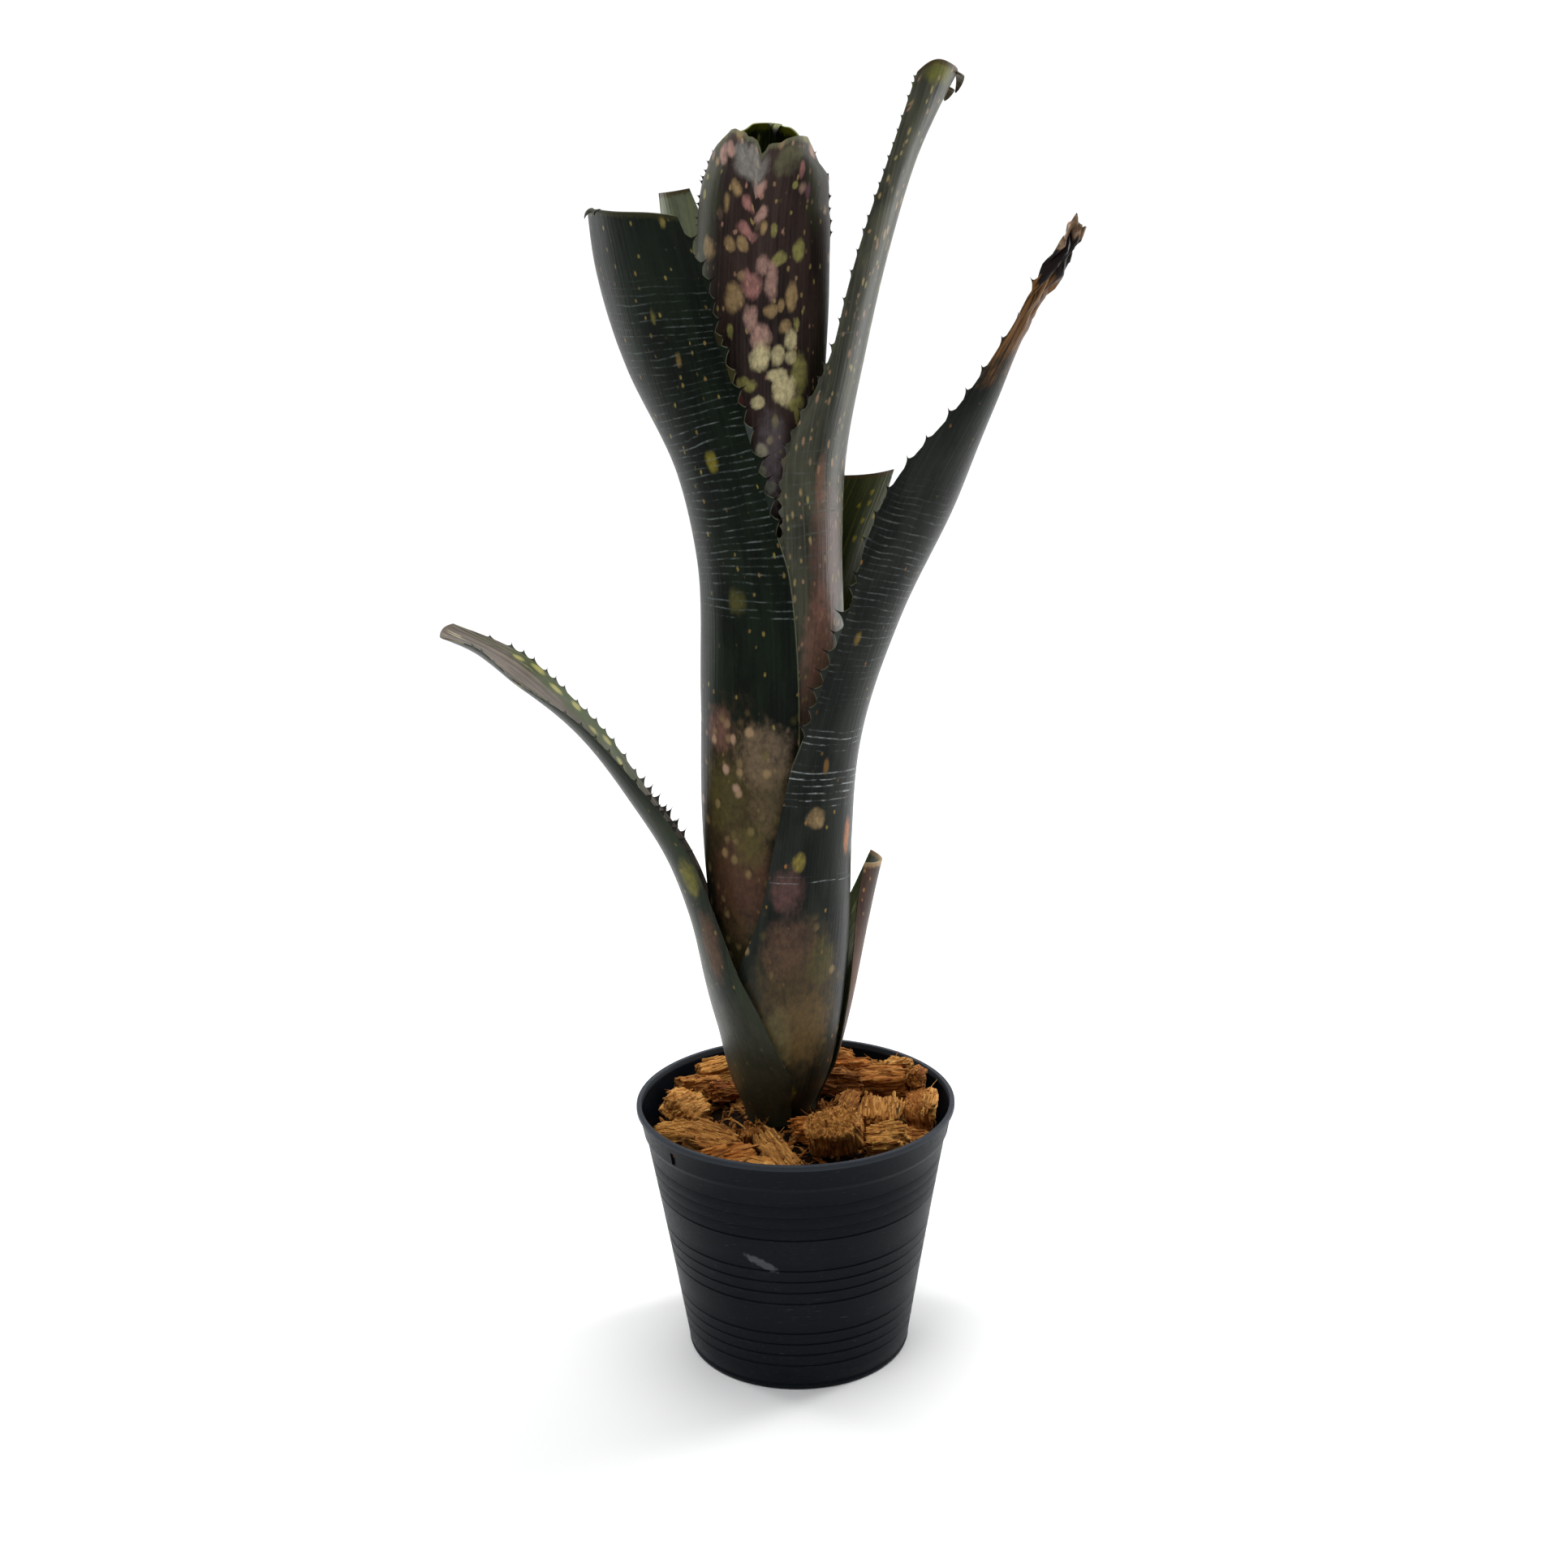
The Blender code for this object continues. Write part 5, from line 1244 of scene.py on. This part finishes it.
# no splinter or loose fibre reaches further from the middle of the pot than this
WALL_REACH = 47.0 * MM
WALL_CLEARANCE = 0.3
CHIP_SEED = 100
chips = sorted(name for name in nodes if name.startswith("chip_"))
for number, chip in enumerate(chips):
    dice = random.Random(CHIP_SEED + number)
    bm = bmesh.new()
    bm.from_mesh(remeshed(nodes[chip].data, VOXEL))
    points = np.array([v.co[:] for v in bm.verts])
    middle = points.mean(axis=0)
    _, turns = np.linalg.eigh(np.cov((points - middle).T))
    order = [2, 1, 0]
    if chip in UPRIGHT:
        order = sorted(order, key=lambda k: -abs(turns[2, k]))
    if chip in ACROSS:
        order = [1, 2, 0]
    grain, second, third = (Vector(turns[:, k]) for k in order)
    third = grain.cross(second)
    centre = Vector(middle)
    place = bm.verts.layers.float_vector.new("grain_place")
    tone = bm.verts.layers.float_vector.new("husk_tone")
    bm.normal_update()
    pale = PALE.get(chip, 0.3)
    red = RED.get(chip, 0.25)
    for v in bm.verts:
        away = v.co - centre
        local = Vector((away.dot(grain), away.dot(second), away.dot(third))) / MM
        seed = Vector((number * 7.3, number * 3.1, 0.0))
        lump = noise.noise(local * 0.26 + seed)
        ridge = noise.noise(Vector((local.x * 0.10, local.y * 0.75, local.z * 0.75)) + seed)
        fine = noise.noise(Vector((local.x * 0.2, local.y * 1.6, local.z * 1.6)) + seed * 2)
        end = abs(v.normal.dot(grain))
        push = 0.8 * lump + (1.0 - 0.4 * end) * (1.0 * ridge + 0.7 * fine)
        v.co += v.normal * ((push * 0.7 + 0.4) * MM)
        if end > 0.5:
            fray = noise.noise(Vector((number * 1.0, local.y * 1.1, local.z * 1.1)))
            v.co += grain * (math.copysign(1.5, v.normal.dot(grain)) * fray * MM)
        v[place] = local + seed * 3
        # the third number is painted shade: how far the point was pushed down into a groove between ridges
        v[tone] = (pale, red, max(0.0, -1.6 * (0.6 * ridge + 0.4 * fine)))
    bm.normal_update()
    skin = [v for v in bm.verts if abs(v.normal.dot(grain)) < 0.6 and v.normal.z > -0.3]
    for k in range(SPLINTERS + LOOSE):
        root = dice.choice(skin)
        sense = dice.choice((-1, 1))
        wander = 0.10 if k < SPLINTERS else 0.5
        lie = grain * sense + Vector([dice.uniform(-wander, wander) for _ in range(3)])
        if k < SPLINTERS:
            lie = (lie - root.normal * lie.dot(root.normal) * 0.7).normalized()
            length = dice.uniform(2.5, 7.0) * MM
            width = dice.uniform(0.25, 0.6) * MM
            start = root.co - lie * length * 0.5 + root.normal * 0.05 * MM
            turn = dice.uniform(0.0, 0.35)
            tint = (min(1.0, max(0.0, pale + dice.uniform(-0.35, 0.35))), red * dice.uniform(0.2, 1.4), 0.0)
        else:
            lie = (lie + root.normal * dice.uniform(0.0, 0.5)).normalized()
            length = dice.uniform(3.5, 9.0) * MM
            width = dice.uniform(0.10, 0.17) * MM
            start = root.co - lie * MM
            turn = dice.uniform(0.3, 1.6)
            tint = (min(1.0, pale + 0.3), red, 0.0)
        for v in lay_fibre(bm, start, lie, length, width, turn, dice):
            reach = math.hypot(v.co.x, v.co.y)
            if reach > WALL_REACH:
                v.co.x *= WALL_REACH / reach
                v.co.y *= WALL_REACH / reach
            away = v.co - centre
            v[place] = Vector((away.dot(grain), away.dot(second), away.dot(third))) / MM
            v[place].x += 5.0 * k
            v[tone] = tint
    if chip in STRANDS:
        foot, way, bow = (Vector(part) for part in STRANDS[chip])
        for v in lay_curved(bm, fibre_shape, foot * MM, way.normalized(), bow.normalized(),
                            STRAND_LENGTH, STRAND_HALF_WIDTH, STRAND_HALF_THICK, STRAND_TURN):
            v[place] = (v.co - centre) / MM
            v[tone] = STRAND_TONE
    # a chip lies against the wall and is never pushed through it
    for v in bm.verts:
        reach = math.hypot(v.co.x, v.co.y) / MM
        room = room_in_pot(v.co.z / MM) - WALL_CLEARANCE
        if reach > room:
            v.co.x *= room / reach
            v.co.y *= room / reach
    finish_piece(bm, chip + "_husk", [husk], [chip], crease=60.0, turn_faces=False)

# %% [markdown]
# Under the chips lies finer growing medium: crumbs, dust and short fibres. A copy of the packed
# mound is subdivided on top and roughened, and crumbs are strewn over it. It is dark, because it is
# damp and little light gets down to it.

# %% Growing medium
soil_finish, tree, shader, place = new_finish("damp_medium", Specular_IOR_Level=0.05)
crumb = cloud(tree, place, (0.8, 0.8, 0.8), 4.0, 0.65)
speck = cloud(tree, place, (2.4, 2.4, 2.4), 2.0, 0.5, (3.0, 0.0, 0.0))
soil_colour = blend(crumb.between(0.35, 0.65), srgb(10, 6, 4), srgb(36, 21, 11))
soil_colour = blend(speck.between(0.62, 0.72) * 0.6, soil_colour, srgb(84, 52, 28))
feed(tree, shader, "Base Color", soil_colour)
feed(tree, shader, "Roughness", 0.8 + 0.15 * crumb)
raise_surface(tree, shader, crumb + speck * 0.5, 0.0008)

MOUND_LOW = 68 * MM
MOUND_CUTS = 5
MOUND_EDGE = 49.0
STREWN = 900
STREWN_REACH = 45.0
NEAR_WALL = 36.0
MEDIUM_SEED = 31
bm = bmesh.new()
place = bm.verts.layers.float_vector.new("grain_place")
tone = bm.verts.layers.float_vector.new("husk_tone")
bm.from_mesh(nodes["growing_medium"].data)
bmesh.ops.remove_doubles(bm, verts=bm.verts, dist=0.00001)
bm.normal_update()
top = [f for f in bm.faces if f.normal.z > 0.3 and f.calc_center_median().z > MOUND_LOW]
top_edges = list({e for f in top for e in f.edges})
bmesh.ops.subdivide_edges(bm, edges=top_edges, cuts=MOUND_CUTS, use_grid_fill=True)
bm.normal_update()
for v in bm.verts:
    radius = math.hypot(v.co.x, v.co.y) / MM
    if v.normal.z > 0.3 and v.co.z > MOUND_LOW:
        rough = noise.noise(v.co / MM * 0.35) * 0.8 + noise.noise(v.co / MM * 1.1) * 0.35
        v.co.z += (rough - 0.4) * MM * min(1.0, max(0.0, (MOUND_EDGE - radius) / 4.0))
soil_tree = BVHTree.FromBMesh(bm)
dice = random.Random(MEDIUM_SEED)
strewn = 0
while strewn < STREWN:
    angle = dice.uniform(0, math.tau)
    reach = STREWN_REACH * math.sqrt(dice.random())
    spot = Vector((reach * math.cos(angle), reach * math.sin(angle), 100.0)) * MM
    hit = soil_tree.ray_cast(spot, Vector((0, 0, -1)))
    if hit[0] is None:
        continue
    strewn += 1
    shade = (dice.uniform(0.0, 0.75), dice.uniform(0.0, 0.6), dice.uniform(0.1, 0.6))
    faces_before = len(bm.faces)
    if strewn % 4 == 0:
        size = dice.uniform(0.6, 1.6) * MM
        shape = Matrix.Diagonal((size, size * dice.uniform(0.5, 1.0), size * dice.uniform(0.4, 0.8), 1.0))
        spin = Matrix.Rotation(dice.uniform(0, math.tau), 4, 'Z')
        spin = spin @ Matrix.Rotation(dice.uniform(-0.6, 0.6), 4, 'X')
        added = bmesh.ops.create_icosphere(bm, subdivisions=1, radius=1.0,
                                           matrix=Matrix.Translation(hit[0]) @ spin @ shape)["verts"]
    else:
        lie = Vector((dice.uniform(-1, 1), dice.uniform(-1, 1), dice.uniform(0.0, 0.5)))
        outwards = Vector((math.cos(angle), math.sin(angle), 0.0))
        lie = (lie - outwards * (lie.dot(outwards) + 0.3) * (reach > NEAR_WALL)).normalized()
        thin = strewn % 4 == 1
        width = dice.uniform(0.10, 0.2) if thin else dice.uniform(0.4, 1.3)
        length = dice.uniform(3.0, 9.0) if thin else dice.uniform(2.5, 7.0)
        added = lay_fibre(bm, hit[0] - lie * MM, lie, length * MM, width * MM, dice.uniform(0.1, 1.2), dice)
    for v in added:
        v[place] = (v.co / MM) + Vector((strewn * 3.0, 0.0, 0.0))
        v[tone] = shade
    for face in list(bm.faces)[faces_before:]:
        face.material_index = 1
finish_piece(bm, "medium_bed", [soil_finish, husk], ["growing_medium"], crease=60.0)

# %% [markdown]
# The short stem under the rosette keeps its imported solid, which is already the right turned shape.
# It only gets a finish: old brown sheath fibre in rings.

# %% Stem finish
stem_finish, tree, shader, place = new_finish("old_stem", Specular_IOR_Level=0.25)
rings = cloud(tree, place, (0.2, 0.2, 1.4), 4.0, 0.6)
strands = cloud(tree, place, (1.2, 1.2, 0.08), 3.0, 0.6, (2.0, 0.0, 0.0))
bark = blend(rings.between(0.3, 0.7), srgb(52, 34, 20), srgb(120, 88, 54))
bark = blend(strands.between(0.5, 0.7) * 0.6, bark, srgb(34, 20, 12))
feed(tree, shader, "Base Color", bark)
feed(tree, shader, "Roughness", 0.7 + 0.2 * rings)
raise_surface(tree, shader, rings + strands, 0.0005)
for entry in nodes["stem"].material_slots:
    entry.material = stem_finish
print("stem slots:", len(nodes["stem"].material_slots))
